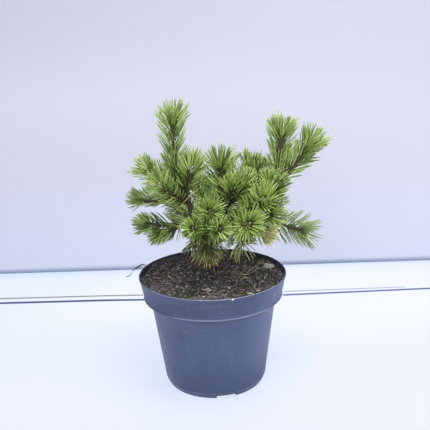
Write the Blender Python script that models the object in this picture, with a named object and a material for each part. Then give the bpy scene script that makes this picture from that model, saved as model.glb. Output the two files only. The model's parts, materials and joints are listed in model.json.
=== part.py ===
# A young winter gold mugo pine, growing in its round nursery pot.
# Metres, +Z up. The origin is the centre of the pot's underside, and the pine's front faces -Y.

import math
import random

import bmesh
import bpy
from mathutils import Matrix, Vector
from mathutils.bvhtree import BVHTree
from mathutils.kdtree import KDTree

SEED = 11
CLEAR = 0.0003  # gap kept wherever two pieces touch

# The pot: a thin turned shell with a wide collar, a raised floor and drain notches in its foot
POT_HEIGHT = 0.1764
RIM_RADIUS = 0.115
COLLAR_RADIUS = 0.108
COLLAR_LOW = 0.1415
BODY_TOP_RADIUS = 0.0980
BODY_LOW_RADIUS = 0.0808
FOOT_RADIUS = 0.077
FOOT_RIDGE = 0.0085
FOOT_WIDTH = 0.0045
POT_WALL = 0.0018
STEP_FALL = 0.005  # the body starts this far under the collar's lower edge
FLOOR_LOW = 0.006
FLOOR_TOP = 0.009
PAD_RADIUS = 0.024  # the middle of the floor is pressed down, and stands on the ground too
PAD_SLOPE = 0.003
LIP = 0.0015
INNER_FALL = 0.004  # the inner step lies this far under the collar's lower edge
INNER_ROUND = 0.002
POT_STEPS = 32
NOTCHES = 3
NOTCH_FIRST = -79.0  # degrees: the first notch is just right of the front
NOTCH_WIDTH = 0.030
NOTCH_HEIGHT = 0.0052
NOTCH_REACH = 0.012  # how far a notch cuts in and out from the foot's edge

# The soil, level near the wall and raised a little round the trunk
SOIL_EDGE = 0.1680
SOIL_SEAT = 0.1720
SEAT_RADIUS = 0.019
SOIL_BUMP = 0.0011
SOIL_RINGS = 3

# The trunk, from its flat foot on the soil to the leader's foot
TRUNK_FOOT = (-0.003, 0.026)
TRUNK_LENGTH = 0.184
TRUNK_RADII = (0.0082, 0.0030)
FLARE = 0.0048  # how far the roots spread past the trunk at the soil
FLARE_HEIGHT = 0.0085
FLARE_CURVE = 1.6
FLARE_LOBES = 5
LOBE_DEPTH = 0.25  # share of the flare that comes and goes between its lobes
FOOT_SHARES = (0.0, 0.016, 0.036, 0.06, 0.10)  # close rings where the roots flare
TRUNK_RINGS = 9  # even rings above them
TAPER = 0.8  # limbs lose most of their thickness near the foot
LIMB_STEP = 0.012  # spacing of the points along the trunk and boughs

TRUNK_SIDES = 12
BOUGH_SIDES = 7
SEAT_ROUNDS = 12

# Needles and the twigs that carry them
NEEDLE_LENGTH = 0.034
NEEDLE_ROOT = 0.00100  # radius of a needle where it leaves its twig
NEEDLE_TIP = 0.0018  # width of its blunt tip
NEEDLE_MARGIN = 0.0022  # needles of two masses keep this far apart
NEEDLE_SHORTEST = 0.5  # share of its length below which a crowded needle is left out
LIMB_MARGIN = 0.0018
SOIL_MARGIN = 0.0035
GOLDEN_ANGLE = math.radians(137.508)
STEM_SIDES = 5  # needles leave a stem from the middles of these faces, two faces on each time
STEM_STEPS = 3
ROLL_SPREAD = 13.0  # degrees that a needle may lean out of the middle of its face
SPLAY_SPREAD = 3.0  # degrees that its splay may differ from the rule
SPLAY_CURVE = 1.5  # the splay closes up mostly towards the tip
LENGTH_SPREAD = (0.90, 1.06)
REACH_STEPS = 16  # points tested along each needle
TWIG_RADIUS = 0.0023
TWIG_SPACE = 0.013  # a side twig keeps this far from every other mass and limb
TWIG_BARE = 0.10  # share of a twig next to its foot that has no needles
TWIG_SHARES = (0.22, 0.50)  # where side twigs leave their stem
TWIG_LENGTHS = (0.50, 0.62)  # their length, as a share of the stem's
TWIG_OUT = (0.72, 0.68)  # a side twig's way at its foot: along the stem and sideways
TWIG_END = (0.90, 0.30, 0.22)  # and at its tip: along the stem, sideways and up
TWIG_TRIES = 4  # places tried for each side twig
SAMPLE = 0.002  # spacing of the points that stand for a limb or twig

# Each course lists headings (azimuth, rise) in degrees, spread evenly from foot to tip.
TRUNK_COURSE = ((209, 86), (206, 76), (204, 66), (200, 66), (140, 88))

# Boughs: name, parent, share along the parent, course, length, foot and tip radius
BOUGHS = (
    ("bough_right", "trunk", 0.19, ((-16, 34), (-10, 36), (-6, 54), (-12, 64)), 0.150, 0.0050, 0.0026),
    ("bough_centre", "trunk", 0.24, ((-30, 50), (-28, 62), (-40, 66)), 0.066, 0.0042, 0.0024),
    ("bough_left", "trunk", 0.64, ((190, 22), (178, 4), (176, 0)), 0.030, 0.0024, 0.0019),
    ("bough_left_low", "trunk", 0.37, ((196, 30), (184, 8), (182, 4)), 0.036, 0.0027, 0.0020),
    ("bough_front", "trunk", 0.26, ((-84, 40), (-84, 52)), 0.044, 0.0032, 0.0021),
    ("bough_front_right", "bough_right", 0.26, ((-78, 24), (-72, 38)), 0.034, 0.0028, 0.0020),
    ("bough_right_low", "bough_right", 0.44, ((10, 2), (4, -4)), 0.022, 0.0026, 0.0020),
    ("bough_back", "trunk", 0.20, ((84, 24), (78, 40)), 0.044, 0.0034, 0.0021),
    ("bough_back_left", "trunk", 0.34, ((128, 24), (122, 38)), 0.042, 0.0032, 0.0021),
    ("bough_back_right", "bough_right", 0.22, ((54, 22), (44, 36)), 0.050, 0.0032, 0.0021),
)

# Masses: name, parent, share, course, stem length, side twigs, needles, splay at foot and tip,
# the needles' size and lift, green
MASSES = (
    ("mass_leader", "trunk", 1.0, ((148, 84), (150, 82)), 0.070, 0, 44, (54, 48), 0.96, 0.0, "gold"),
    ("mass_left_upper", "trunk", 0.8, ((-170, 24), (-166, 40)), 0.050, 0, 34, (56, 44), 0.94, 0.12, "gold"),
    ("mass_left_front", "trunk", 0.66, ((-132, 24), (-122, 40)), 0.060, 0, 33, (52, 44), 0.94, 0.12, "gold"),
    ("mass_left_side", "bough_left", 1.0, ((178, -2), (180, 4)), 0.036, 0, 28, (46, 38), 0.88, 0.4, "green"),
    ("mass_left_low", "bough_left_low", 1.0, ((-176, -2), (-172, 8)), 0.038, 0, 32, (50, 40), 0.86, 0.2, "green"),
    ("mass_left_under", "bough_left_low", 0.5, ((-142, -10), (-150, -2)), 0.036, 0, 22, (46, 34), 0.72, -0.1, "green"),
    ("mass_centre_left", "trunk", 0.74, ((-58, 46), (-66, 60)), 0.040, 0, 32, (54, 48), 1.04, 0.2, "gold"),
    ("mass_centre_top", "bough_centre", 1.0, ((152, 70), (174, 80)), 0.056, 0, 38, (58, 56), 1.14, 0.0, "gold"),
    ("mass_centre_right", "bough_centre", 0.9, ((-40, 42), (-54, 56)), 0.047, 1, 30, (52, 40), 0.90, 0.1, "gold"),
    ("mass_front_up", "bough_front", 1.0, ((-83, 40), (-83, 32)), 0.049, 0, 28, (62, 44), 0.88, 0.0, "gold"),
    ("mass_front_left", "trunk", 0.34, ((-101, 18), (-97, 26)), 0.071, 0, 28, (62, 46), 0.74, 0.0, "gold"),
    ("mass_front_middle", "bough_front", 0.5, ((-70, 12), (-78, 26)), 0.065, 0, 26, (62, 46), 0.76, 0.0, "gold"),
    ("mass_right_up", "bough_right", 1.0, ((38, 76), (26, 84)), 0.071, 0, 40, (48, 46), 1.04, 0.0, "gold"),
    ("mass_right_out", "bough_right", 0.93, ((-20, 42), (-16, 56)), 0.074, 0, 40, (50, 44), 1.04, 0.08, "gold"),
    ("mass_right_front", "bough_right", 0.58, ((-84, 20), (-76, 40)), 0.064, 1, 33, (58, 42), 1.00, 0.1, "gold"),
    ("mass_right_middle", "bough_right", 0.72, ((-56, 30), (-50, 54)), 0.037, 1, 28, (54, 40), 0.98, 0.1, "gold"),
    ("mass_right_crest", "bough_right", 0.5, ((76, 66), (66, 84)), 0.071, 1, 32, (50, 40), 0.94, 0.0, "gold"),
    ("mass_right_low", "bough_right_low", 1.0, ((2, -12), (-2, -20)), 0.065, 0, 38, (54, 44), 0.98, 0.05, "green"),
    ("mass_right_yellow", "bough_right", 0.36, ((-46, 4), (-40, -4)), 0.045, 0, 24, (56, 40), 0.80, -0.1, "straw"),
    ("mass_front_right", "bough_front_right", 1.0, ((-78, 12), (-78, 22)), 0.060, 0, 36, (64, 50), 1.02, 0.0, "gold"),
    ("mass_back_low", "bough_back", 0.6, ((94, 8), (92, 16)), 0.060, 1, 26, (56, 40), 1.00, 0.1, "green"),
    ("mass_back_high", "bough_back", 1.0, ((90, 60), (86, 74)), 0.056, 2, 31, (52, 38), 1.00, 0.0, "gold"),
    ("mass_back_left_low", "bough_back_left", 0.66, ((124, -2), (118, 6)), 0.056, 1, 26, (54, 40), 0.92, 0.0, "green"),
    ("mass_back_left_high", "bough_back_left", 1.0, ((128, 52), (130, 74)), 0.056, 2, 31, (50, 38), 1.00, 0.0, "gold"),
    ("mass_back_right_low", "bough_back_right", 0.7, ((64, 2), (58, 12)), 0.054, 1, 26, (56, 40), 1.00, 0.1, "green"),
    ("mass_back_right_high", "bough_back_right", 1.0, ((48, 50), (50, 70)), 0.056, 2, 31, (52, 38), 1.00, 0.0, "gold"),
    ("mass_back_side", "bough_right", 0.46, ((40, 16), (22, 30)), 0.062, 1, 26, (56, 40), 1.00, 0.1, "green"),
    ("mass_skirt", "bough_front", 0.30, ((-92, -24), (-88, -64)), 0.024, 1, 24, (54, 32), 1.00, -0.4, "old"),
    ("mass_hang_left", "trunk", 0.28, ((-140, 12), (-128, -20)), 0.018, 0, 14, (44, 30), 0.70, -0.7, "green"),
    ("mass_hang_right", "bough_front_right", 0.46, ((-84, -40), (-80, -50)), 0.018, 0, 16, (58, 38), 0.82, -0.2, "old"),
)

# Base colour, roughness and metallic value of each finish
FINISHES = {
    "pot plastic": ((0.105, 0.130, 0.215), 0.55, 0.0),
    "soil": ((0.075, 0.062, 0.058), 0.95, 0.0),
    "bark": ((0.110, 0.080, 0.062), 0.90, 0.0),
    "gold": ((0.215, 0.315, 0.085), 0.60, 0.0),
    "green": ((0.135, 0.215, 0.065), 0.60, 0.0),
    "old": ((0.135, 0.140, 0.055), 0.65, 0.0),
    "straw": ((0.420, 0.370, 0.140), 0.65, 0.0),
}


def finish(name):
    """The named material, made the first time it is asked for."""
    if name in bpy.data.materials:
        return bpy.data.materials[name]
    colour, roughness, metallic = FINISHES[name]
    material = bpy.data.materials.new(name)
    material.use_nodes = True
    shader = material.node_tree.nodes["Principled BSDF"]
    shader.inputs["Base Color"].default_value = (*colour, 1.0)
    shader.inputs["Roughness"].default_value = roughness
    shader.inputs["Metallic"].default_value = metallic
    material.diffuse_color = (*colour, 1.0)
    return material


def add_object(name, points, faces, finish_name, collection=None):
    """A mesh object made of these points and faces."""
    mesh = bpy.data.meshes.new(name)
    mesh.from_pydata([tuple(point) for point in points], [], faces)
    mesh.validate()
    obj = bpy.data.objects.new(name, mesh)
    obj.data.materials.append(finish(finish_name))
    (collection or bpy.context.scene.collection).objects.link(obj)
    return obj


def shade_round(obj, angle=40.0):
    obj.data.shade_smooth()
    obj.data.set_sharp_from_angle(angle=math.radians(angle))


def heading(azimuth, rise):
    """The unit vector of a compass direction and a rise, in degrees."""
    around = math.radians(azimuth)
    up = math.radians(rise)
    return Vector((math.cos(up) * math.cos(around), math.cos(up) * math.sin(around), math.sin(up)))


def course_point(course, share):
    """The heading at a share of a course, eased between its listed headings."""
    place = share * (len(course) - 1)
    low = min(int(place), len(course) - 2)
    first = heading(*course[low])
    second = heading(*course[low + 1])
    return first.lerp(second, place - low).normalized()


def follow(start, course, length, steps):
    """The points of a limb that leaves start on this course."""
    points = [Vector(start)]
    for step in range(steps):
        way = course_point(course, (step + 0.5) / steps)
        points.append(points[-1] + way * (length / steps))
    return points


class Limb:
    """A tapering limb: its points from foot to tip, and its radius along them."""

    def __init__(self, name, start, course, length, foot_radius, tip_radius, steps):
        self.name = name
        self.course = course
        self.length = length
        self.radii = (foot_radius, tip_radius)
        self.points = follow(start, course, length, steps)
        self.frames = frames_along(self.points)
        self.surface = None

    def move(self, offset):
        self.points = [point + offset for point in self.points]

    def radius(self, share):
        foot, tip = self.radii
        return foot + (tip - foot) * share ** TAPER

    def at(self, share):
        """The point and the heading at a share of the limb."""
        place = min(max(share, 0.0), 1.0) * (len(self.points) - 1)
        low = min(int(place), len(self.points) - 2)
        point = self.points[low].lerp(self.points[low + 1], place - low)
        return point, course_point(self.course, share)

    def across(self, share, angle):
        """The sideways direction at an angle round the limb."""
        low = min(int(share * (len(self.points) - 1)), len(self.points) - 2)
        side, other = self.frames[low]
        return side * math.cos(angle) + other * math.sin(angle)

    def samples(self):
        """Points close together along the limb, each with the radius there."""
        count = max(2, round(self.length / SAMPLE))
        return [(self.at(i / count)[0], self.radius(i / count)) for i in range(count + 1)]


def seat(limb, sides, parent, share):
    """Move a limb out from its parent's middle until its flat foot just clears the parent."""
    way = (limb.points[1] - limb.points[0]).normalized()
    low = min(int(share * (len(parent.points) - 1)), len(parent.points) - 2)
    along = (parent.points[low + 1] - parent.points[low]).normalized()
    lean = abs(way.dot(along))
    sine = math.sqrt(1.0 - lean * lean)
    radius = limb.radii[0]
    if share >= 1.0:
        limb.move(along * (CLEAR + radius * sine))
        return
    reach = (parent.radius(share) + CLEAR + radius * lean) / sine
    corners = tube(limb.points[:2], limb.radii, sides)[0][:sides]
    rim = [a.lerp(b, i / 4) for a, b in zip(corners, corners[1:] + corners[:1]) for i in range(4)]
    for _ in range(SEAT_ROUNDS):
        gap = min(parent.surface.find_nearest(point + way * reach)[3] for point in rim)
        reach -= gap - CLEAR
    limb.move(way * reach)


def steps_for(length):
    return max(4, round(length / LIMB_STEP))


def frames_along(points):
    """A pair of side vectors at each point, carried along without twisting."""
    ways = []
    for i in range(len(points)):
        low = points[max(i - 1, 0)]
        high = points[min(i + 1, len(points) - 1)]
        ways.append((high - low).normalized())
    side = ways[0].orthogonal().normalized()
    frames = []
    for way in ways:
        side = (side - way * side.dot(way)).normalized()
        frames.append((side, way.cross(side)))
    return frames


def tube(points, radii, sides):
    """Points and faces of a closed tube, with flat ends."""
    places = []
    for point, radius, (side, other) in zip(points, radii, frames_along(points)):
        for turn in range(sides):
            angle = 2 * math.pi * turn / sides
            places.append(point + (side * math.cos(angle) + other * math.sin(angle)) * radius)
    return places, tube_faces(len(points), sides)


def tube_faces(rings, sides):
    faces = [tuple(reversed(range(sides)))]
    for ring in range(rings - 1):
        for turn in range(sides):
            after = (turn + 1) % sides
            low = ring * sides
            high = low + sides
            faces.append((low + turn, low + after, high + after, high + turn))
    faces.append(tuple(range((rings - 1) * sides, rings * sides)))
    return faces


def limb_tube(limb, sides):
    steps = len(limb.points) - 1
    return tube(limb.points, [limb.radius(i / steps) for i in range(steps + 1)], sides)


def wall_radius(height):
    """Outer radius of the pot's tapering body at a height."""
    share = (height - FOOT_RIDGE) / (COLLAR_LOW - STEP_FALL - FOOT_RIDGE)
    return BODY_LOW_RADIUS + (BODY_TOP_RADIUS - BODY_LOW_RADIUS) * share


def collar_inside(height):
    """Inner radius of the collar at a height."""
    low = COLLAR_LOW + INNER_ROUND
    share = (height - low) / (POT_HEIGHT - LIP - low)
    return COLLAR_RADIUS - POT_WALL + (RIM_RADIUS - COLLAR_RADIUS) * share


def inner_profile(gap):
    """The pot's inside from the middle of its floor to its rim, moved in by a gap, as (radius, height)."""
    step = COLLAR_LOW - INNER_FALL
    inner = wall_radius(step) - POT_WALL
    return [
        (0.0, FLOOR_TOP - FLOOR_LOW + gap),
        (PAD_RADIUS - gap, FLOOR_TOP - FLOOR_LOW + gap),
        (PAD_RADIUS + PAD_SLOPE - gap, FLOOR_TOP + gap),
        (wall_radius(FLOOR_TOP) - POT_WALL - 0.003 - gap, FLOOR_TOP + gap),
        (wall_radius(FLOOR_TOP + 0.004) - POT_WALL - gap, FLOOR_TOP + 0.004),
        (inner - gap, step + gap),
        (COLLAR_RADIUS - POT_WALL - 0.003 - gap, COLLAR_LOW - 0.0016 + gap),
        (COLLAR_RADIUS - POT_WALL - gap, COLLAR_LOW + INNER_ROUND + gap),
        (RIM_RADIUS - POT_WALL - gap, POT_HEIGHT - LIP),
    ]


def make_pot():
    step = COLLAR_LOW - STEP_FALL
    outer = [
        (RIM_RADIUS - 0.0012, POT_HEIGHT),
        (RIM_RADIUS - 0.0003, POT_HEIGHT - 0.0004),
        (RIM_RADIUS, POT_HEIGHT - LIP),
        (RIM_RADIUS - 0.0010, POT_HEIGHT - 0.0050),
        (COLLAR_RADIUS, COLLAR_LOW),
        (COLLAR_RADIUS - 0.0012, COLLAR_LOW - 0.0022),
        (COLLAR_RADIUS - 0.0040, COLLAR_LOW - 0.0034),
        (wall_radius(step) + 0.0012, step + 0.0006),
        (wall_radius(step), step - 0.0010),
        (wall_radius(FOOT_RIDGE), FOOT_RIDGE),
        (wall_radius(FOOT_RIDGE) - 0.0009, FOOT_RIDGE - 0.0012),
        (FOOT_RADIUS + 0.0012, 0.0022),
        (FOOT_RADIUS, 0.0),
        (FOOT_RADIUS - FOOT_WIDTH, 0.0),
        (FOOT_RADIUS - FOOT_WIDTH - 0.0006, FLOOR_LOW),
        (PAD_RADIUS + PAD_SLOPE + 0.0024, FLOOR_LOW),
        (PAD_RADIUS + 0.0024, 0.0),
        (0.0, 0.0),
    ]
    profile = inner_profile(0.0) + outer
    mesh = bpy.data.meshes.new("pot")
    edges = [(i, i + 1) for i in range(len(profile) - 1)]
    mesh.from_pydata([(radius, 0.0, height) for radius, height in profile], edges, [])
    pot = bpy.data.objects.new("pot", mesh)
    bpy.context.scene.collection.objects.link(pot)
    pot.data.materials.append(finish("pot plastic"))
    turn = pot.modifiers.new("Turned shell", "SCREW")
    turn.steps = POT_STEPS
    turn.render_steps = POT_STEPS
    turn.use_merge_vertices = True
    turn.merge_threshold = 0.00005
    turn.use_smooth_shade = True
    for number in range(NOTCHES):
        cut = pot.modifiers.new("Drain notch", "BOOLEAN")
        cut.operation = "DIFFERENCE"
        cut.object = notch_cutter(number)
    return pot


def notch_cutter(number):
    """A low block through the foot ring, which leaves a wide drain notch."""
    half = NOTCH_WIDTH / 2
    near, far = FOOT_RADIUS - NOTCH_REACH, FOOT_RADIUS + NOTCH_REACH
    low, high = -0.004, NOTCH_HEIGHT
    corners = [(x, y, z) for x in (near, far) for y in (-half, half) for z in (low, high)]
    faces = [(0, 1, 3, 2), (4, 6, 7, 5), (0, 4, 5, 1), (2, 3, 7, 6), (0, 2, 6, 4), (1, 5, 7, 3)]
    cutter = add_object(f"notch_cutter_{number}", corners, faces, "pot plastic")
    cutter.rotation_euler.z = math.radians(NOTCH_FIRST + number * 360 / NOTCHES)
    cutter.hide_render = True
    cutter.display_type = "WIRE"
    return cutter


def make_soil():
    """The soil fills the pot, with a flat seat under the trunk and a lumpy top round it."""
    lumps = random.Random(SEED)
    seat = Vector((*TRUNK_FOOT, SOIL_SEAT))
    edge_radius = collar_inside(SOIL_EDGE) - CLEAR
    points = [seat]
    rings = []
    for ring in range(SOIL_RINGS + 1):
        share = ring / SOIL_RINGS
        rings.append(len(points))
        for turn in range(POT_STEPS):
            angle = 2 * math.pi * turn / POT_STEPS
            way = Vector((math.cos(angle), math.sin(angle), 0.0))
            near = seat + way * SEAT_RADIUS
            far = way * edge_radius
            place = near.lerp(far, share)
            level = SOIL_SEAT + (SOIL_EDGE - SOIL_SEAT) * math.sin(share * math.pi / 2)
            bump = lumps.uniform(-SOIL_BUMP, SOIL_BUMP) if 0 < ring < SOIL_RINGS else 0.0
            points.append((place.x, place.y, level + bump))
    for radius, height in reversed(inner_profile(CLEAR)[1:-1]):
        rings.append(len(points))
        for turn in range(POT_STEPS):
            angle = 2 * math.pi * turn / POT_STEPS
            points.append((radius * math.cos(angle), radius * math.sin(angle), height))
    points.append((0.0, 0.0, inner_profile(CLEAR)[0][1]))
    faces = []
    for turn in range(POT_STEPS):
        after = (turn + 1) % POT_STEPS
        faces.append((0, rings[0] + turn, rings[0] + after))
        for near, far in zip(rings, rings[1:]):
            faces.append((near + turn, far + turn, far + after, near + after))
        faces.append((rings[-1] + turn, len(points) - 1, rings[-1] + after))
    soil = add_object("soil", points, faces, "soil")
    shade_round(soil)
    return soil


def trunk_shape(limb):
    """The trunk, its foot cut level with the soil and its roots flaring out there."""
    sides = TRUNK_SIDES
    last = FOOT_SHARES[-1]
    shares = [*FOOT_SHARES]
    shares += [last + (1.0 - last) * ring / TRUNK_RINGS for ring in range(1, TRUNK_RINGS + 1)]
    middles = [limb.at(share)[0] for share in shares]
    frames = frames_along(middles)
    places = []
    for share, middle, (side, other) in zip(shares, middles, frames):
        level = max(0.0, 1.0 - share * limb.length / FLARE_HEIGHT)
        for turn in range(sides):
            angle = 2 * math.pi * turn / sides
            flat = Vector((math.cos(angle), math.sin(angle), 0.0))
            across = side * math.cos(angle) + other * math.sin(angle)
            if side.cross(other).z < 0:
                across = side * math.cos(angle) - other * math.sin(angle)
            lobe = 1.0 - LOBE_DEPTH * (1.0 - math.cos(FLARE_LOBES * angle))
            spread = FLARE * level ** FLARE_CURVE * lobe
            way = across.lerp(flat, level).normalized()
            places.append(middle + way * (limb.radius(share) + spread))
    for index in range(sides):
        places[index].z = middles[0].z
    return places, tube_faces(len(shares), sides)


def make_trunk(limb):
    trunk = add_object("trunk", *trunk_shape(limb), "bark")
    shade_round(trunk, 60.0)
    return trunk


def make_bough(limb):
    bough = add_object(limb.name, *limb_tube(limb, BOUGH_SIDES), "bark")
    shade_round(bough, 60.0)
    return bough


def grown_limbs():
    """The trunk and every bough, by name."""
    foot = (*TRUNK_FOOT, SOIL_SEAT + CLEAR)
    steps = steps_for(TRUNK_LENGTH)
    trunk = Limb("trunk", foot, TRUNK_COURSE, TRUNK_LENGTH, *TRUNK_RADII, steps)
    trunk.surface = BVHTree.FromPolygons(*trunk_shape(trunk))
    limbs = {"trunk": trunk}
    for name, parent, share, course, length, foot_radius, tip_radius in BOUGHS:
        start = limbs[parent].at(share)[0]
        limb = Limb(name, start, course, length, foot_radius, tip_radius, steps_for(length))
        seat(limb, BOUGH_SIDES, limbs[parent], share)
        limb.surface = BVHTree.FromPolygons(*limb_tube(limb, BOUGH_SIDES))
        limbs[name] = limb
    return limbs


class Mass:
    """One mass of foliage: its stem, its side twigs and the space that they keep to."""

    def __init__(self, row, limbs, number):
        name, parent, share, course, length, twigs, needles, splay, size, lift, green = row
        self.name = name
        self.twig_count = twigs
        self.needle_count = needles
        self.splay = splay
        self.size = size
        self.lift = lift
        self.green = green
        self.chance = random.Random(SEED * 1000 + number)
        start = limbs[parent].at(share)[0]
        stem = Limb(name, start, course, length, TWIG_RADIUS, TWIG_RADIUS * 0.9, STEM_STEPS)
        seat(stem, STEM_SIDES, limbs[parent], share)
        self.axes = [stem]

    def samples(self):
        return [sample for axis in self.axes for sample in axis.samples()]

    def grow_twigs(self, others):
        """Side twigs, each kept only where it has room."""
        stem = self.axes[0]
        roll = self.chance.uniform(0, 2 * math.pi)
        for number in range(self.twig_count * TWIG_TRIES):
            if len(self.axes) > self.twig_count:
                break
            share = self.chance.uniform(*TWIG_SHARES)
            point, along = stem.at(share)
            side = Matrix.Rotation(roll + number * GOLDEN_ANGLE, 3, along) @ along.orthogonal().normalized()
            out = (along * TWIG_OUT[0] + side * TWIG_OUT[1]).normalized()
            end = (along * TWIG_END[0] + side * TWIG_END[1] + Vector((0, 0, TWIG_END[2]))).normalized()
            course = [angles_of(out), angles_of(end)]
            length = stem.length * self.chance.uniform(*TWIG_LENGTHS)
            twig = Limb(self.name, point, course, length, TWIG_RADIUS * 0.95, TWIG_RADIUS * 0.85, 2)
            if all(others.find(place)[2] > TWIG_SPACE for place, _ in twig.samples()[2:]):
                self.axes.append(twig)


def angles_of(way):
    """Azimuth and rise, in degrees, of a unit vector."""
    return math.degrees(math.atan2(way.y, way.x)), math.degrees(math.asin(max(-1.0, min(1.0, way.z))))


def tree_of(places):
    tree = KDTree(len(places))
    for index, place in enumerate(places):
        tree.insert(place, index)
    tree.balance()
    return tree


class Crown:
    """Every mass and limb, and the test that keeps each needle in its mass's space."""

    def __init__(self, limbs):
        self.limbs = limbs
        self.limb_samples = [sample for limb in limbs.values() for sample in limb.samples()]
        self.limb_tree = tree_of([place for place, _ in self.limb_samples])
        self.masses = [Mass(row, limbs, number) for number, row in enumerate(MASSES)]
        for mass in self.masses:
            mass.grow_twigs(self.others_of(mass, with_limbs=True))
        self.own_trees = {}
        self.other_trees = {}
        for mass in self.masses:
            self.own_trees[mass.name] = tree_of([place for place, _ in mass.samples()])
            self.other_trees[mass.name] = self.others_of(mass)

    def others_of(self, mass, with_limbs=False):
        places = [place for other in self.masses if other is not mass for place, _ in other.samples()]
        if with_limbs:
            places += [place for place, _ in self.limb_samples]
        return tree_of(places)

    def room_at(self, mass, place):
        """Whether a point has room: its own mass is the nearest, and no limb or soil is close."""
        if place.z < SOIL_SEAT + SOIL_MARGIN:
            return False
        own = self.own_trees[mass.name].find(place)[2]
        other = self.other_trees[mass.name].find(place)[2]
        if other - own < NEEDLE_MARGIN:
            return False
        _, index, distance = self.limb_tree.find(place)
        return distance > self.limb_samples[index][1] + LIMB_MARGIN

    def reach(self, mass, root, way, length):
        """How far a needle can grow from its root before it leaves its space."""
        for step in range(1, REACH_STEPS + 1):
            if not self.room_at(mass, root + way * (length * step / REACH_STEPS)):
                return length * (step - 1) / REACH_STEPS
        return length


def needle_object(number, root, way, flat, length, green, collection):
    """A three-sided needle that tapers to a blunt edge, its back turned to flat."""
    across = way.cross(flat).normalized()
    back = way.cross(across)
    places = []
    for turn in range(3):
        angle = math.radians(90 + 120 * turn)
        places.append(root + (across * math.cos(angle) + back * math.sin(angle)) * NEEDLE_ROOT)
    tip = root + way * length
    places += [tip - across * NEEDLE_TIP / 2, tip + across * NEEDLE_TIP / 2]
    faces = [(2, 1, 0), (0, 1, 3), (1, 2, 4, 3), (2, 0, 4), (0, 3, 4)]
    return add_object(f"needle_{number}", places, faces, green, collection)


def needles_of(crown, mass):
    """Root, direction and length of each needle of a mass, in sprays round its twigs."""
    total = sum(axis.length for axis in mass.axes)
    found = []
    for axis in mass.axes:
        count = round(mass.needle_count * axis.length / total)
        for number in range(count):
            share = TWIG_BARE + (1.0 - TWIG_BARE) * (number + 0.5) / count
            point, along = axis.at(share)
            turn = 360.0 * (2 * number + 0.5) / STEM_SIDES + mass.chance.uniform(-ROLL_SPREAD, ROLL_SPREAD)
            side = axis.across(share, math.radians(turn))
            low, high = mass.splay
            splay = low + (high - low) * share ** SPLAY_CURVE
            splay = math.radians(splay + mass.chance.uniform(-SPLAY_SPREAD, SPLAY_SPREAD))
            way = along * math.cos(splay) + side * math.sin(splay) + Vector((0, 0, mass.lift))
            way.normalize()
            length = NEEDLE_LENGTH * mass.size * mass.chance.uniform(*LENGTH_SPREAD)
            free = crown.reach(mass, point, way, length)
            if free >= length * NEEDLE_SHORTEST:
                found.append((point, way, side, free))
    return found


def make_mass(crown, mass):
    """One solid: the stem, its twigs and its needles joined by a single union."""
    stem = mass.axes[0]
    body = add_object(mass.name, *limb_tube(stem, STEM_SIDES), mass.green)
    parts = bpy.data.collections.new(mass.name + " parts")
    bpy.context.scene.collection.children.link(parts)
    for number, twig in enumerate(mass.axes[1:]):
        add_object(f"twig_{number}", *limb_tube(twig, STEM_SIDES), mass.green, parts)
    for number, (root, way, flat, length) in enumerate(needles_of(crown, mass)):
        needle_object(number, root, way, flat, length, mass.green, parts)
    union = body.modifiers.new("Needles", "BOOLEAN")
    union.operation = "UNION"
    union.operand_type = "COLLECTION"
    union.collection = parts
    apply_modifiers(body)
    for obj in list(parts.objects):
        bpy.data.objects.remove(obj)
    bpy.data.collections.remove(parts)
    keep_largest_body(body)
    return body


def apply_modifiers(obj):
    graph = bpy.context.evaluated_depsgraph_get()
    mesh = bpy.data.meshes.new_from_object(obj.evaluated_get(graph))
    obj.modifiers.clear()
    obj.data = mesh


def keep_largest_body(obj):
    """Drop loose scraps and fill sealed hollows: only the largest closed surface stays."""
    shape = bmesh.new()
    shape.from_mesh(obj.data)
    bodies = []
    waiting = {face.index: face for face in shape.faces}
    while waiting:
        body = [waiting.pop(min(waiting))]
        for face in body:
            for near in (near for edge in face.edges for near in edge.link_faces):
                if waiting.pop(near.index, None):
                    body.append(near)
        bodies.append(body)
    largest = max(bodies, key=len)
    scraps = [face for body in bodies if body is not largest for face in body]
    bmesh.ops.delete(shape, geom=scraps, context="FACES")
    shape.to_mesh(obj.data)
    shape.free()


def main():
    for obj in list(bpy.data.objects):
        bpy.data.objects.remove(obj)
    make_pot()
    make_soil()
    limbs = grown_limbs()
    make_trunk(limbs["trunk"])
    for name, limb in limbs.items():
        if name != "trunk":
            make_bough(limb)
    crown = Crown(limbs)
    for mass in crown.masses:
        make_mass(crown, mass)


main()
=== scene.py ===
# A young winter gold mugo pine in its nursery pot: the looks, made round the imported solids.
# Metres, +Z up, the plant's front faces -Y.

import json
import math
import random

import bmesh
import bpy
import numpy as np
from mathutils import Matrix, Vector, noise
from mathutils.bvhtree import BVHTree
from mathutils.kdtree import KDTree

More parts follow.
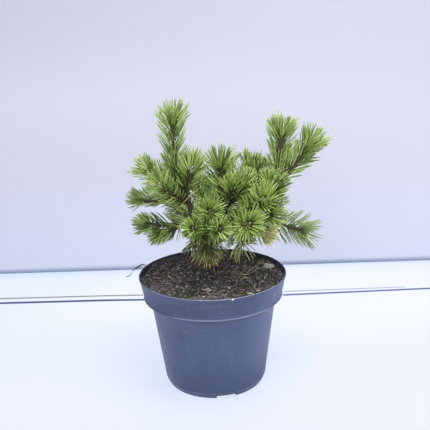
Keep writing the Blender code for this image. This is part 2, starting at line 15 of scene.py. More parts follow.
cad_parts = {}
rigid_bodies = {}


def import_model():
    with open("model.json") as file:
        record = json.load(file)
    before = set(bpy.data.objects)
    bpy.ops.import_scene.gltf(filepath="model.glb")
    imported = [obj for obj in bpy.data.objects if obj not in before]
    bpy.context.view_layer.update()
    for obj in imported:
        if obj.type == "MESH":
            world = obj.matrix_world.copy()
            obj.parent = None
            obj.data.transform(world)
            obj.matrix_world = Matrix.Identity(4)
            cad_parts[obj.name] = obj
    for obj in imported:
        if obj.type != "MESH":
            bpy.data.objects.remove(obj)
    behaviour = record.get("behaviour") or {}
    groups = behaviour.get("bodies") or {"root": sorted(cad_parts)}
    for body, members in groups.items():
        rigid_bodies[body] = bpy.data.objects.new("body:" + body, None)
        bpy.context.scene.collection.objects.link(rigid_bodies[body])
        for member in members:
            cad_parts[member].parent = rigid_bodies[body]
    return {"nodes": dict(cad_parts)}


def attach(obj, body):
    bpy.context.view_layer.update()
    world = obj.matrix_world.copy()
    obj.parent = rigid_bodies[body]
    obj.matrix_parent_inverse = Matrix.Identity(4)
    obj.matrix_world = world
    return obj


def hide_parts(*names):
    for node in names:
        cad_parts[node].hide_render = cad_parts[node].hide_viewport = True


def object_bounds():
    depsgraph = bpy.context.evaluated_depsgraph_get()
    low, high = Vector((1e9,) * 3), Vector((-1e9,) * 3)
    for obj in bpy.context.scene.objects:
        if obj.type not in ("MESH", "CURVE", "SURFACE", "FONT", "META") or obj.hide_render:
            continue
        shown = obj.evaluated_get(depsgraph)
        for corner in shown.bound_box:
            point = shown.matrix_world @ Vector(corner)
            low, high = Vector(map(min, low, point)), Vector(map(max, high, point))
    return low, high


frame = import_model()
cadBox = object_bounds()
print("frame loaded:", len(frame["nodes"]), "nodes")

fullTurn = 2 * math.pi
goldenAngle = math.radians(137.508)

# Small tools for meshes


def linked(name, data):
    piece = bpy.data.objects.new(name, data)
    bpy.context.scene.collection.objects.link(piece)
    return piece


def meshObject(name, points, faces, material=None, smooth=True):
    mesh = bpy.data.meshes.new(name)
    mesh.from_pydata([tuple(point) for point in points], [], faces)
    mesh.validate()
    if smooth:
        mesh.shade_smooth()
    if material:
        mesh.materials.append(material)
    return linked(name, mesh)


def addAttribute(piece, name, kind, values, domain="POINT"):
    attribute = piece.data.attributes.new(name, kind, domain)
    field = "vector" if kind == "FLOAT_VECTOR" else "value"
    attribute.data.foreach_set(field, np.asarray(values).ravel())


def joined(name, shapes, material=None, mark=None):
    # one object from many shapes: the points, the faces and any marks of each
    points, faces, marks = [], [], []
    for somePoints, someFaces, *someMarks in shapes:
        first = len(points)
        points += somePoints
        faces += [tuple(first + index for index in face) for face in someFaces]
        marks += sum(someMarks, [])
    piece = meshObject(name, points, faces, material)
    if mark:
        addAttribute(piece, mark, "FLOAT", marks)
    return piece


def handIn(piece, slot, *nodes):
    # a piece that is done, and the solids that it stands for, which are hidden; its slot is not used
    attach(piece, "root")
    if nodes:
        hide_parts(*nodes)


def turns(steps):
    return [fullTurn * turn / steps for turn in range(steps)]


def onCircle(radius, angle, height=0.0):
    return Vector((radius * math.cos(angle), radius * math.sin(angle), height))


def towards(pair, angle):
    return pair[0] * math.cos(angle) + pair[1] * math.sin(angle)


def ringPoints(middle, pair, radius, sides):
    return [middle + towards(pair, angle) * radius for angle in turns(sides)]


def shareOf(items, share):
    # the item that lies before a share of the way along, and how far on from it that is
    place = share * (len(items) - 1)
    low = min(int(place), len(items) - 2)
    return low, place - low


def smoothPath(points, count):
    # a smooth curve through the points, as count + 1 points spread evenly
    ends = [points[0] * 2 - points[1], *points, points[-1] * 2 - points[-2]]
    curve = []
    for step in range(count + 1):
        low, t = shareOf(points, step / count)
        a, b, c, d = ends[low:low + 4]
        curve.append((b * 2 + (c - a) * t + (a * 2 - b * 5 + c * 4 - d) * t * t
                      + (b * 3 - a - c * 3 + d) * t ** 3) * 0.5)
    return curve


def framesAlong(points):
    # a pair of side vectors at each point, carried along without twisting
    ways = [(points[min(i + 1, len(points) - 1)] - points[max(i - 1, 0)]).normalized()
            for i in range(len(points))]
    side = ways[0].orthogonal().normalized()
    frames = []
    for way in ways:
        side = (side - way * side.dot(way)).normalized()
        frames.append((side, way.cross(side)))
    return frames


def tubeFaces(rings, sides):
    faces = []
    for ring in range(rings - 1):
        for turn in range(sides):
            after = (turn + 1) % sides
            low, high = ring * sides, (ring + 1) * sides
            faces.append((low + turn, low + after, high + after, high + turn))
    return [*faces, tuple(reversed(range(sides))), tuple(range((rings - 1) * sides, rings * sides))]


def tube(path, sides, radius, pairs=None):
    # radius gives the size of each ring by its number
    points = []
    for number, (middle, pair) in enumerate(zip(path, pairs or framesAlong(path))):
        points += ringPoints(middle, pair, radius(number), sides)
    return points, tubeFaces(len(path), sides)


def lathe(first, rings, last):
    # points and faces from a first point through rings of points to a last one
    steps, points, faces = len(rings[0]), [first, *sum(rings, []), last], []
    lowest = 1 + (len(rings) - 1) * steps
    for turn in range(steps):
        after = (turn + 1) % steps
        faces.append((0, 1 + turn, 1 + after))
        for low in range(1, lowest, steps):
            faces.append((low + turn, low + steps + turn, low + steps + after, low + after))
        faces.append((lowest + turn, len(points) - 1, lowest + after))
    return points, faces


# Small tools for nodes


def socketOf(sockets, name=None):
    return next(socket for socket in sockets if socket.enabled and name in (None, socket.name))


def feed(tree, node, **values):
    # each value is plain or another node's output; In0, In1 and so on are inputs by number
    for key, value in values.items():
        byNumber = key[:2] == "In" and key[2:].isdigit()
        socket = node.inputs[int(key[2:])] if byNumber else socketOf(node.inputs, key.replace("_", " "))
        if isinstance(value, bpy.types.NodeSocket):
            tree.links.new(value, socket)
        else:
            socket.default_value = value


def wired(tree, kind, output=None, **values):
    # a new node's output: names in small letters set the node, and the others feed its inputs
    node = tree.nodes.new(kind)
    for key in [key for key in values if key[0].islower()]:
        setattr(node, key, values.pop(key))
    feed(tree, node, **values)
    return socketOf(node.outputs, output)


def newTree(name, kind, output, **inputs):
    # an input is given by its default value, or by its kind where it has none
    kinds = {float: "Float", int: "Int", tuple: "Vector"}
    tree = bpy.data.node_groups.new(name, kind)
    for key, value in inputs.items():
        plain = not isinstance(value, str)
        socketKind = "NodeSocket" + (kinds[type(value)] if plain else value)
        socket = tree.interface.new_socket(key.replace("_", " "), in_out="INPUT", socket_type=socketKind)
        if plain:
            socket.default_value = value
    tree.interface.new_socket(output[0], in_out="OUTPUT", socket_type="NodeSocket" + output[1])
    return tree, tree.nodes.new("NodeGroupInput").outputs, tree.nodes.new("NodeGroupOutput").inputs[0]


def plainMesh(host, tree, values, name):
    # run a Geometry Nodes tree on the host, and keep what it makes as a plain mesh object
    modifier = host.modifiers.new(tree.name, "NODES")
    modifier.node_group = tree
    for item in tree.interface.items_tree:
        if item.item_type == "SOCKET" and item.in_out == "INPUT" and item.name in values:
            modifier[item.identifier] = values[item.name]
    mesh = evaluatedMesh(host)
    mesh.name = name
    bpy.data.objects.remove(host)
    return linked(name, mesh)


def evaluatedMesh(piece):
    graph = bpy.context.evaluated_depsgraph_get()
    return bpy.data.meshes.new_from_object(piece.evaluated_get(graph), depsgraph=graph)


def shapeCollection(name, pieces):
    # shapes that only stand as patterns for the copies, out of the render
    collection = bpy.data.collections.new(name)
    for piece in pieces:
        bpy.context.scene.collection.objects.unlink(piece)
        collection.objects.link(piece)
    return collection


# Shader node groups that several finishes share


def maskOf(tree, made, value, low, high):
    spread = wired(tree, "ShaderNodeMapRange", interpolation_type="SMOOTHSTEP", Value=value, From_Min=low,
                   From_Max=high)
    tree.links.new(spread, made)
    return tree


def makeMottle():
    # soft-edged patches
    tree, given, made = newTree("mottle", "ShaderNodeTree", ("Mask", "Float"), Vector="Vector", Scale=40.0,
                                Detail=4.0, From=0.45, To=0.65)
    cloud = wired(tree, "ShaderNodeTexNoise", Vector=given["Vector"], Scale=given["Scale"],
                  Detail=given["Detail"], Roughness=0.6)
    return maskOf(tree, made, cloud, given["From"], given["To"])


def makeStreaks():
    # patches drawn out along one direction, as scuffs and fibres are
    tree, given, made = newTree("streaks", "ShaderNodeTree", ("Mask", "Float"), Vector="Vector",
                                Stretch=(1.0, 1.0, 0.1), Scale=200.0, From=0.5, To=0.7)
    drawn = wired(tree, "ShaderNodeVectorMath", operation="MULTIPLY", In0=given["Vector"],
                  In1=given["Stretch"])
    cloud = wired(tree, "ShaderNodeTexNoise", Vector=drawn, Scale=given["Scale"], Detail=3.0, Roughness=0.55)
    return maskOf(tree, made, cloud, given["From"], given["To"])


def makeGrain():
    # two sizes of fine lumps, for a bump
    tree, given, made = newTree("grain", "ShaderNodeTree", ("Height", "Float"), Vector="Vector", Scale=900.0,
                                Coarse=0.3)
    fine = wired(tree, "ShaderNodeTexNoise", Vector=given["Vector"], Scale=given["Scale"], Detail=2.0)
    wide = wired(tree, "ShaderNodeMath", operation="MULTIPLY", In0=given["Scale"], In1=0.2)
    lumps = wired(tree, "ShaderNodeTexNoise", Vector=given["Vector"], Scale=wide, Detail=3.0)
    height = wired(tree, "ShaderNodeMix", data_type="FLOAT", Factor=given["Coarse"], A=fine, B=lumps)
    tree.links.new(height, made)
    return tree


def makeLevel():
    # from nothing to all between two heights
    tree, given, made = newTree("level", "ShaderNodeTree", ("Mask", "Float"), Vector="Vector", From=0.0,
                                To=0.1)
    height = wired(tree, "ShaderNodeSeparateXYZ", "Z", Vector=given["Vector"])
    return maskOf(tree, made, height, given["From"], given["To"])


def makeSpot():
    # a soft spot round a place, with its own reach in each direction
    tree, given, made = newTree("spot", "ShaderNodeTree", ("Mask", "Float"), Vector="Vector",
                                Middle=(0.0, 0.0, 0.0), Reach=(0.01, 0.01, 0.01), Edge=0.5)
    away = wired(tree, "ShaderNodeVectorMath", operation="SUBTRACT", In0=given["Vector"],
                 In1=given["Middle"])
    scaled = wired(tree, "ShaderNodeVectorMath", operation="DIVIDE", In0=away, In1=given["Reach"])
    length = wired(tree, "ShaderNodeVectorMath", "Value", operation="LENGTH", In0=scaled)
    return maskOf(tree, made, length, 1.0, given["Edge"])


mottle, streaks, grain = makeMottle(), makeStreaks(), makeGrain()
level, spot = makeLevel(), makeSpot()


class Finish:
    # a material under construction: its tree, its shader and its colour so far
    def __init__(self, name, colour, roughness, **plain):
        self.material = bpy.data.materials.new(name)
        self.material.use_nodes = True
        self.colour = (*colour, 1.0)
        self.material.diffuse_color = self.colour
        self.tree = self.material.node_tree
        self.shader = self.tree.nodes["Principled BSDF"]
        feed(self.tree, self.shader, Base_Color=self.colour, Roughness=roughness, **plain)

    def add(self, kind, output=None, **values):
        return wired(self.tree, kind, output, **values)

    def group(self, group, **values):
        place = self.add("ShaderNodeTexCoord", "Object")
        return self.add("ShaderNodeGroup", node_tree=group, Vector=place, **values)

    def attribute(self, name):
        return self.add("ShaderNodeAttribute", "Fac", attribute_name=name)

    def patches(self, scale, detail, low, high):
        return self.group(mottle, Scale=scale, Detail=detail, From=low, To=high)

    def drawn(self, stretch, scale, low, high):
        return self.group(streaks, Stretch=stretch, Scale=scale, From=low, To=high)

    def heights(self, low, high):
        return self.group(level, From=low, To=high)

    def spot(self, middle, reach, edge):
        return self.group(spot, Middle=middle, Reach=reach, Edge=edge)

    def both(self, first, second, operation="MULTIPLY"):
        return self.add("ShaderNodeMath", operation=operation, use_clamp=True, In0=first, In1=second)

    def band(self, low, rise, fall, high):
        # all between two heights, and softly nothing below and above them
        return self.both(self.heights(low, rise), self.heights(fall, high), "SUBTRACT")

    def blend(self, mask, colour, amount=1.0):
        # lay another colour over what is there, where the mask says
        self.colour = self.add("ShaderNodeMix", data_type="RGBA", Factor=self.both(mask, amount),
                               A=self.colour, B=(*colour, 1.0))
        feed(self.tree, self.shader, Base_Color=self.colour)

    def grained(self, scale, coarse, distance, strength):
        # the last step: a fine bump, and the material is done
        height = self.group(grain, Scale=scale, Coarse=coarse)
        normal = self.add("ShaderNodeBump", Height=height, Distance=distance, Strength=strength)
        feed(self.tree, self.shader, Normal=normal)
        return self.material


# The growth rule: limbs that follow a course, and masses of twigs that keep to their own space

growth = {
    "seed": 11,
    "clear": 0.0003,
    "soilTop": 0.172,
    "trunkFoot": (-0.003, 0.026),
    "trunkLength": 0.184,
    "trunkRadii": (0.0082, 0.003),
    # each course lists headings (azimuth, rise) in degrees, spread evenly from foot to tip
    "trunkCourse": ((209, 86), (206, 76), (204, 66), (200, 66), (140, 88)),
    "limbStep": 0.012,
    "twigRadius": 0.0023,
    "twigOut": (0.72, 0.68),  # a side twig's way from its stem: along it, and to its side
    "twigEnd": (0.90, 0.30, 0.22),  # and at its tip, with a share upwards
    "twigRadii": (0.95, 0.85),  # at its foot and its tip, of the usual radius
    "stemTip": 0.9,  # and a stem's at its tip
    "taper": 0.8,  # under 1 a limb thins out early
    "tries": 4,  # for each side twig
    "sample": 0.002,
    "seatTries": 12,
    "rimPoints": 4,  # places looked at on each side of a limb's foot
    "stemSteps": 3,
    "twigSteps": 2,
    "stemSides": 5,
    "boughSides": 7,
    "trunkSides": 12,
}

# Boughs: name after bough_, parent, share along the parent, course, length, foot and tip radius
boughs = (
    ("right", "trunk", 0.19, ((-16, 34), (-10, 36), (-6, 54), (-12, 64)), 0.15, (0.005, 0.0026)),
    ("centre", "trunk", 0.24, ((-30, 50), (-28, 62), (-40, 66)), 0.066, (0.0042, 0.0024)),
    ("left", "trunk", 0.64, ((190, 22), (178, 4), (176, 0)), 0.03, (0.0024, 0.0019)),
    ("left_low", "trunk", 0.37, ((196, 30), (184, 8), (182, 4)), 0.036, (0.0027, 0.002)),
    ("front", "trunk", 0.26, ((-84, 40), (-84, 52)), 0.044, (0.0032, 0.0021)),
    ("front_right", "right", 0.26, ((-78, 24), (-72, 38)), 0.034, (0.0028, 0.002)),
    ("right_low", "right", 0.44, ((10, 2), (4, -4)), 0.022, (0.0026, 0.002)),
    ("back", "trunk", 0.2, ((84, 24), (78, 40)), 0.044, (0.0034, 0.0021)),
    ("back_left", "trunk", 0.34, ((128, 24), (122, 38)), 0.042, (0.0032, 0.0021)),
    ("back_right", "right", 0.22, ((54, 22), (44, 36)), 0.05, (0.0032, 0.0021)),
)

# Masses: name after mass_, parent, share along it, course, stem length, side twigs, splay at foot
# and tip, size of the needles, how much they turn up, green
masses = (
    ("leader", "trunk", 1, ((150, 84), (30, 86)), 0.067, 0, (40, 52), 1.02, 0, "calm"),
    ("left_upper", "trunk", 0.8, ((-170, 24), (-166, 40)), 0.05, 0, (56, 44), 0.94, 0.12, "calm"),
    ("left_front", "trunk", 0.66, ((-132, 24), (-122, 40)), 0.06, 0, (52, 44), 0.94, 0.12, "calm"),
    ("left_side", "left", 1, ((178, -2), (180, 4)), 0.036, 0, (46, 38), 0.78, 0.4, "mid"),
    ("left_low", "left_low", 1, ((-176, -2), (-172, 8)), 0.038, 0, (50, 40), 0.86, 0.2, "green"),
    ("left_under", "left_low", 0.5, ((-142, -10), (-150, -2)), 0.036, 0, (46, 34), 0.72, -0.1, "green"),
    ("centre_left", "trunk", 0.74, ((-58, 46), (-66, 60)), 0.04, 0, (54, 44), 1.16, 0.3, "gold"),
    ("centre_top", "centre", 1, ((165, 68), (40, 84)), 0.056, 0, (52, 56), 1.24, 0, "gold"),
    ("centre_right", "centre", 0.9, ((-40, 42), (-54, 56)), 0.047, 1, (52, 40), 0.9, 0.1, "gold"),
    ("front_up", "front", 1, ((-83, 40), (-83, 32)), 0.049, 0, (62, 44), 0.88, 0, "gold"),
    ("front_left", "trunk", 0.34, ((-101, 18), (-97, 26)), 0.071, 0, (62, 46), 0.74, 0, "gold"),
    ("front_middle", "front", 0.5, ((-70, 12), (-78, 26)), 0.065, 0, (62, 46), 0.76, 0, "gold"),
    ("right_up", "right", 1, ((38, 76), (26, 84)), 0.071, 0, (38, 48), 1.02, 0, "calm"),
    ("right_out", "right", 0.93, ((-20, 42), (-16, 56)), 0.074, 0, (40, 48), 1.04, 0.08, "calm"),
    ("right_front", "right", 0.58, ((-84, 20), (-76, 40)), 0.064, 1, (58, 44), 1.06, 0.2, "gold"),
    ("right_middle", "right", 0.72, ((-56, 30), (-50, 54)), 0.037, 1, (54, 40), 0.86, 0.1, "gold"),
    ("right_crest", "right", 0.5, ((76, 66), (66, 84)), 0.071, 1, (46, 36), 1.06, 0.05, "gold"),
    ("right_low", "right_low", 1, ((2, -12), (-2, -20)), 0.065, 0, (58, 46), 1.06, 0.05, "mid"),
    ("right_yellow", "right", 0.36, ((-46, 4), (-40, -4)), 0.045, 0, (56, 40), 0.8, -0.1, "straw"),
    ("front_right", "front_right", 1, ((-78, 12), (-78, 22)), 0.06, 0, (64, 50), 1.02, 0, "gold"),
    ("back_low", "back", 0.6, ((94, 8), (92, 16)), 0.06, 1, (56, 40), 1, 0.1, "green"),
    ("back_high", "back", 1, ((90, 60), (86, 74)), 0.056, 2, (52, 38), 1, 0, "gold"),
    ("back_left_low", "back_left", 0.66, ((114, -2), (108, 6)), 0.056, 1, (54, 40), 0.9, 0, "green"),
    ("back_left_high", "back_left", 1, ((128, 52), (130, 74)), 0.056, 2, (50, 38), 1, 0, "gold"),
    ("back_right_low", "back_right", 0.7, ((64, 2), (58, 12)), 0.054, 1, (56, 40), 1, 0.1, "green"),
    ("back_right_high", "back_right", 1, ((48, 50), (50, 70)), 0.056, 2, (52, 38), 1, 0, "gold"),
    ("back_side", "right", 0.46, ((58, 16), (46, 30)), 0.06, 1, (56, 40), 0.96, 0.1, "green"),
    ("skirt", "front", 0.3, ((-92, -22), (-80, -50)), 0.026, 1, (62, 52), 0.94, -0.68, "old"),
    ("hang_left", "trunk", 0.28, ((-140, 12), (-128, -20)), 0.02, 0, (62, 48), 0.74, -1, "dark"),
    ("hang_right", "front_right", 0.46, ((-66, -28), (-50, -32)), 0.022, 0, (82, 66), 0.96, -0.05, "worn"),
)

# Side twigs as the solids have them, and then finer ones. A mass has as many of each as its row says,
# or as its name has here, and both keep their space from the other masses.
twigRules = (
    {"seed": 1000, "shares": (0.22, 0.5), "lengths": (0.5, 0.62), "space": 0.013, "counts": {}},
    {"seed": 2000, "shares": (0.12, 0.82), "lengths": (0.3, 0.44), "space": 0.009,
     "counts": {"skirt": 6, "hang_left": 2, "hang_right": 2}},
)


def heading(azimuth, rise):
    azimuth, rise = math.radians(azimuth), math.radians(rise)
    return onCircle(math.cos(rise), azimuth, math.sin(rise))


def coursePoint(course, share):
    low, rest = shareOf(course, share)
    return heading(*course[low]).lerp(heading(*course[low + 1]), rest).normalized()


class Limb:
    def __init__(self, start, course, length, radii, steps):
        self.course, self.length, self.radii = course, length, radii
        self.points = [Vector(start)]
        for step in range(steps):
            way = coursePoint(course, (step + 0.5) / steps)
            self.points.append(self.points[-1] + way * (length / steps))
        self.frames = framesAlong(self.points)

    def move(self, offset):
        self.points = [point + offset for point in self.points]

    def radius(self, share):
        foot, tip = self.radii
        return foot + (tip - foot) * share ** growth["taper"]

    def at(self, share):
        low, rest = shareOf(self.points, min(max(share, 0.0), 1.0))
        return self.points[low].lerp(self.points[low + 1], rest), coursePoint(self.course, share)

    def across(self, share, angle):
        return towards(self.frames[shareOf(self.points, share)[0]], angle)

    def samples(self):
        count = max(2, round(self.length / growth["sample"]))
        return [(self.at(i / count)[0], self.radius(i / count)) for i in range(count + 1)]

    def addSurface(self, sides):
        last = len(self.points) - 1
        shape = tube(self.points, sides, lambda ring: self.radius(ring / last), self.frames)
        self.surface = BVHTree.FromPolygons(*shape)


def seatLimb(limb, sides, parent, share):
    # move the limb out from its parent's middle until its foot just clears the parent
    way = (limb.points[1] - limb.points[0]).normalized()
    low = shareOf(parent.points, share)[0]
    along = (parent.points[low + 1] - parent.points[low]).normalized()
    lean = abs(way.dot(along))
    sine = math.sqrt(1.0 - lean * lean)
    radius, clear = limb.radii[0], growth["clear"]
    if share >= 1.0:
        limb.move(along * (clear + radius * sine))
        return
    reach = (parent.radius(share) + clear + radius * lean) / sine
    corners = ringPoints(limb.points[0], framesAlong(limb.points[:2])[0], radius, sides)
    places = growth["rimPoints"]
    rim = [a.lerp(b, i / places) for a, b in zip(corners, corners[1:] + corners[:1])
           for i in range(places)]
    for _ in range(growth["seatTries"]):
        gap = min(parent.surface.find_nearest(point + way * reach)[3] for point in rim)
        reach -= gap - clear
    limb.move(way * reach)


def growLimbs():
    def stepsOf(length):
        return max(4, round(length / growth["limbStep"]))

    foot, length = (*growth["trunkFoot"], growth["soilTop"] + growth["clear"]), growth["trunkLength"]
    trunk = Limb(foot, growth["trunkCourse"], length, growth["trunkRadii"], stepsOf(length))
    trunk.addSurface(growth["trunkSides"])
    limbs = {"trunk": trunk}
    for name, parent, share, course, length, radii in boughs:
        limb = Limb(limbs[parent].at(share)[0], course, length, radii, stepsOf(length))
        seatLimb(limb, growth["boughSides"], limbs[parent], share)
        limb.addSurface(growth["boughSides"])
        limbs[name] = limb
    return limbs


def anglesOf(way):
    return math.degrees(math.atan2(way.y, way.x)), math.degrees(math.asin(max(-1.0, min(1.0, way.z))))


class Mass:
    def __init__(self, row, number):
        (self.name, self.parent, self.share, course, length, self.twigCount, self.splay, self.size,
         self.lift, self.green) = row
        self.number = number
        limb, radius = limbs[self.parent], growth["twigRadius"]
        radii = (radius, radius * growth["stemTip"])
        stem = Limb(limb.at(self.share)[0], course, length, radii, growth["stemSteps"])
        seatLimb(stem, growth["stemSides"], limb, self.share)
        self.axes = [stem]

    def samples(self):
        return [sample for axis in self.axes for sample in axis.samples()]

    def growTwigs(self, rule):
        # side twigs, each kept only where it has room
        chance = random.Random(growth["seed"] * rule["seed"] + self.number)
        others = treeOf(othersOf(self) + limbSamples)
        count = rule["counts"].get(self.name, self.twigCount)
        stem, radius, before = self.axes[0], growth["twigRadius"], len(self.axes)
        roll = chance.uniform(0, fullTurn)
        (near, wide), (on, aside, up) = growth["twigOut"], growth["twigEnd"]
        radii = [radius * size for size in growth["twigRadii"]]
        for number in range(count * growth["tries"]):
            if len(self.axes) - before >= count:
                break
            point, along = stem.at(chance.uniform(*rule["shares"]))
            side = Matrix.Rotation(roll + number * goldenAngle, 3, along) @ along.orthogonal().normalized()
            out = (along * near + side * wide).normalized()
            end = (along * on + side * aside + Vector((0, 0, up))).normalized()
            length = stem.length * chance.uniform(*rule["lengths"])
            course = [anglesOf(out), anglesOf(end)]
            twig = Limb(point, course, length, radii, growth["twigSteps"])
            if all(others.find(place)[2] > rule["space"] for place, _ in twig.samples()[2:]):
                self.axes.append(twig)


def treeOf(samples):
    tree = KDTree(len(samples))
    for index, (place, _) in enumerate(samples):
        tree.insert(place, index)
    tree.balance()
    return tree


def othersOf(mass):
    return [sample for other in crown if other is not mass for sample in other.samples()]


limbs = growLimbs()
limbSamples = [sample for limb in limbs.values() for sample in limb.samples()]
crown = [Mass(row, number) for number, row in enumerate(masses)]
for rule in twigRules:
    for mass in crown:
        mass.growTwigs(rule)
print("grown:", len(limbs), "limbs,", sum(len(mass.axes) for mass in crown), "twigs")


# Needles: pairs in a papery sheath, dealt out in sprays along every twig

needles = {
    "seed": 3000,
    "length": 0.034,
    "width": 0.0017,
    "thick": 0.0012,
    "apart": 0.0004,  # from the middle of a pair to each needle
    "shapes": 9,  # different pairs to pick from
    "lean": (2.2, 7.0),  # degrees that each needle of a pair leans from their middle
    "closing": 0.22,  # share of its way out that is gone at its tip
    "bend": (6.0, 18.0),  # degrees that a pair curves towards the shoot's tip
    "bendSpread": (-3, 3),  # and how much more or less each of its needles does
    "twist": (-50, 50),  # degrees
    "sheath": ((-0.0012, 0.8), (0.0008, 1.15), (0.0042, 0.95)),  # height and size of its rings
    "sheathRadius": 0.00105,
    "denser": {"leader": 1.2, "right_up": 1.45, "right_out": 1.35, "right_low": 0.85, "centre_top": 1.3,
               "hang_right": 1.25},
    "deep": {"leader": 0.25, "right_up": 0.30, "right_out": 0.15, "centre_top": 0.1,
             "back_left_low": 0.6},  # share moved to the two darker tints, as painted shade on these masses
    "crowd": 0.85,  # under 1 the pairs stand closer towards the twig's tip
    "brush": 30,  # more pairs round the bud
    "fewer": {"right_low": 8},
    "brushSplay": (22.0, 58.0),
    "brushUp": 5.0,  # the lower end of that where the twig doesn't point at the front
    "facing": -0.6,  # a twig points at the front where its way along Y is less
    "brushFrom": 0.82,
    "showBud": ("centre_left", "left_front", "left_upper", "right_middle"),
    "budOpen": 0.85,  # share of the brush left out in front of those buds
    "budSide": -0.35,
    "open": 0.75,  # share of the pairs left out where they would hide their twig from the front
    "openFrom": 0.70,
    "openTo": 0.9,
    # length with needles below the mass at a limb's tip
    "olderWood": {"trunk": 0.062, "left_low": 0.016, "other": 0.046},
    "over": 0.005,  # needles may grow this far out of the solids' box
    "space": -0.007,  # needles may reach this far past the middle between two masses
    "limbSpace": 0.0012,
    "soilSpace": 0.0030,
    "shortest": 0.45,
    "splaySpread": 7.0,
    "splayCurve": 1.5,  # over 1 the splay changes mostly near the twig's tip
    "from": 0.06,  # share of a twig below its first needles
    "limbFrom": 0.15,  # and of a limb at least
    "placeJitter": (0.2, 0.8),  # of the distance between two pairs
    "turnJitter": (-0.35, 0.35),  # radians round the twig
    "roll": (-0.9, 0.9),  # radians round the pair itself
    "lengths": (0.86, 1.06),
    "girths": (0.88, 1.10),
    "rooted": 0.7,  # where a pair starts, as a share of the twig's radius
    "hanging": ("old", "dark", "worn"),
    "longTips": ("old", "worn", "straw"),
    "tips": {"short tips": (0.90, 5), "long tips": (0.80, 6)},  # where a tip's colour starts, and a seed
    "steps": 10,  # a needle's way is looked at in this many steps
    "limbStep": 3,  # and from this one on where it stands on a limb
    "roughness": 0.30,
    "shine": 0.80,
    "sheathColour": (0.130, 0.092, 0.066),
    "sheathRoughness": 0.75,
}

# Greens: slot, distance between pairs, share of pairs in their twig's own tint, four tints and the tips
greens = {
    "gold": ("needles_gold", 0.00106, 0.25, (0.475, 0.63, 0.165), (0.3, 0.43, 0.096), (0.13, 0.205, 0.045),
             (0.62, 0.74, 0.27), (0.4, 0.51, 0.165)),
    "green": ("needles_green", 0.00106, 0.25, (0.4, 0.54, 0.15), (0.25, 0.37, 0.09), (0.11, 0.175, 0.044),
              (0.51, 0.62, 0.225), (0.34, 0.45, 0.145)),
    "calm": ("needles_gold", 0.00106, 0.2, (0.4, 0.545, 0.148), (0.305, 0.44, 0.102), (0.185, 0.285, 0.062),
             (0.5, 0.63, 0.22), (0.4, 0.51, 0.165)),
    "mid": ("needles_green", 0.00106, 0.2, (0.345, 0.48, 0.135), (0.27, 0.39, 0.098), (0.185, 0.285, 0.072),
            (0.43, 0.55, 0.195), (0.34, 0.45, 0.145)),
    # dark: a darker copy of the green, as painted shade for needles that hang low under the crown
    "dark": ("needles_green", 0.0019, 0, (0.2, 0.28, 0.12), (0.12, 0.18, 0.08), (0.075, 0.115, 0.058),
             (0.31, 0.39, 0.185), (0.26, 0.29, 0.11)),
    "straw": ("needles_straw", 0.0022, 0, (0.96, 0.88, 0.54), (0.44, 0.57, 0.17), (0.88, 0.74, 0.4),
              (0.31, 0.45, 0.12), (0.94, 0.84, 0.52)),
    "old": ("needles_old", 0.0014, 0, (0.25, 0.3, 0.09), (0.14, 0.195, 0.062), (0.088, 0.13, 0.048),
            (0.33, 0.32, 0.1), (0.6, 0.47, 0.14)),
    "worn": ("needles_old", 0.0012, 0, (0.345, 0.48, 0.135), (0.215, 0.315, 0.09), (0.13, 0.2, 0.062),
             (0.42, 0.5, 0.19), (0.6, 0.59, 0.23)),
}


def bladePoints(lean, bend, twist, shares):
    # a half-round needle from the sheath up +Z, its flat side turned to its partner
    half, thick, length = needles["width"] / 2, needles["thick"], needles["length"]
    outward = math.copysign(1.0, lean)
    points = []
    for share, size in shares:
        out = math.tan(math.radians(lean)) * length * (share - needles["closing"] * share * share)
        over = math.tan(math.radians(bend)) * length * 0.5 * share * share
        middle = Vector((out + math.copysign(needles["apart"], lean), over, length * share))
        turn = Matrix.Rotation(math.radians(twist * share), 3, "Z")
        for wide, deep in ((-1.0, 0.0), (-0.55, 1.0), (0.55, 1.0), (1.0, 0.0)):
            offset = Vector((outward * deep * thick * size, outward * wide * half * size, 0.0))
            points.append(middle + turn @ offset)
    return points


def pairShape(name, chance, tipFrom, sheath):
    # places along a needle, and its size at each
    shares = ((0.0, 0.62), (0.28, 1.0), (min(0.64, tipFrom - 0.2), 0.98), (tipFrom, 0.70), (1.0, 0.14))
    # zones of its faces: 0 for the blade, 1 for the tip, 2 for the sheath and 3 for the foot, which gets
    # painted shade
    shapes, zones = [], []
    bend = chance.uniform(*needles["bend"])
    for side in (-1, 1):
        lean = side * chance.uniform(*needles["lean"])
        curve = bend + chance.uniform(*needles["bendSpread"])
        points = bladePoints(lean, curve, chance.uniform(*needles["twist"]), shares)
        shapes.append((points, [tuple(reversed(face)) for face in tubeFaces(len(shares), 4)]))
        zones += [3] * 4 + [1 if shares[index // 4][0] >= tipFrom else 0 for index in range(4, 16)] + [0, 1]
    radius, rings = needles["sheathRadius"], needles["sheath"]
    points = [onCircle(radius * wide, angle, height) for height, wide in rings for angle in turns(5)]
    shapes.append((points, tubeFaces(3, 5)))
    piece = joined(name, shapes, sheath)
    addAttribute(piece, "zone", "INT", zones + [2] * len(shapes[-1][1]), "FACE")
    return piece


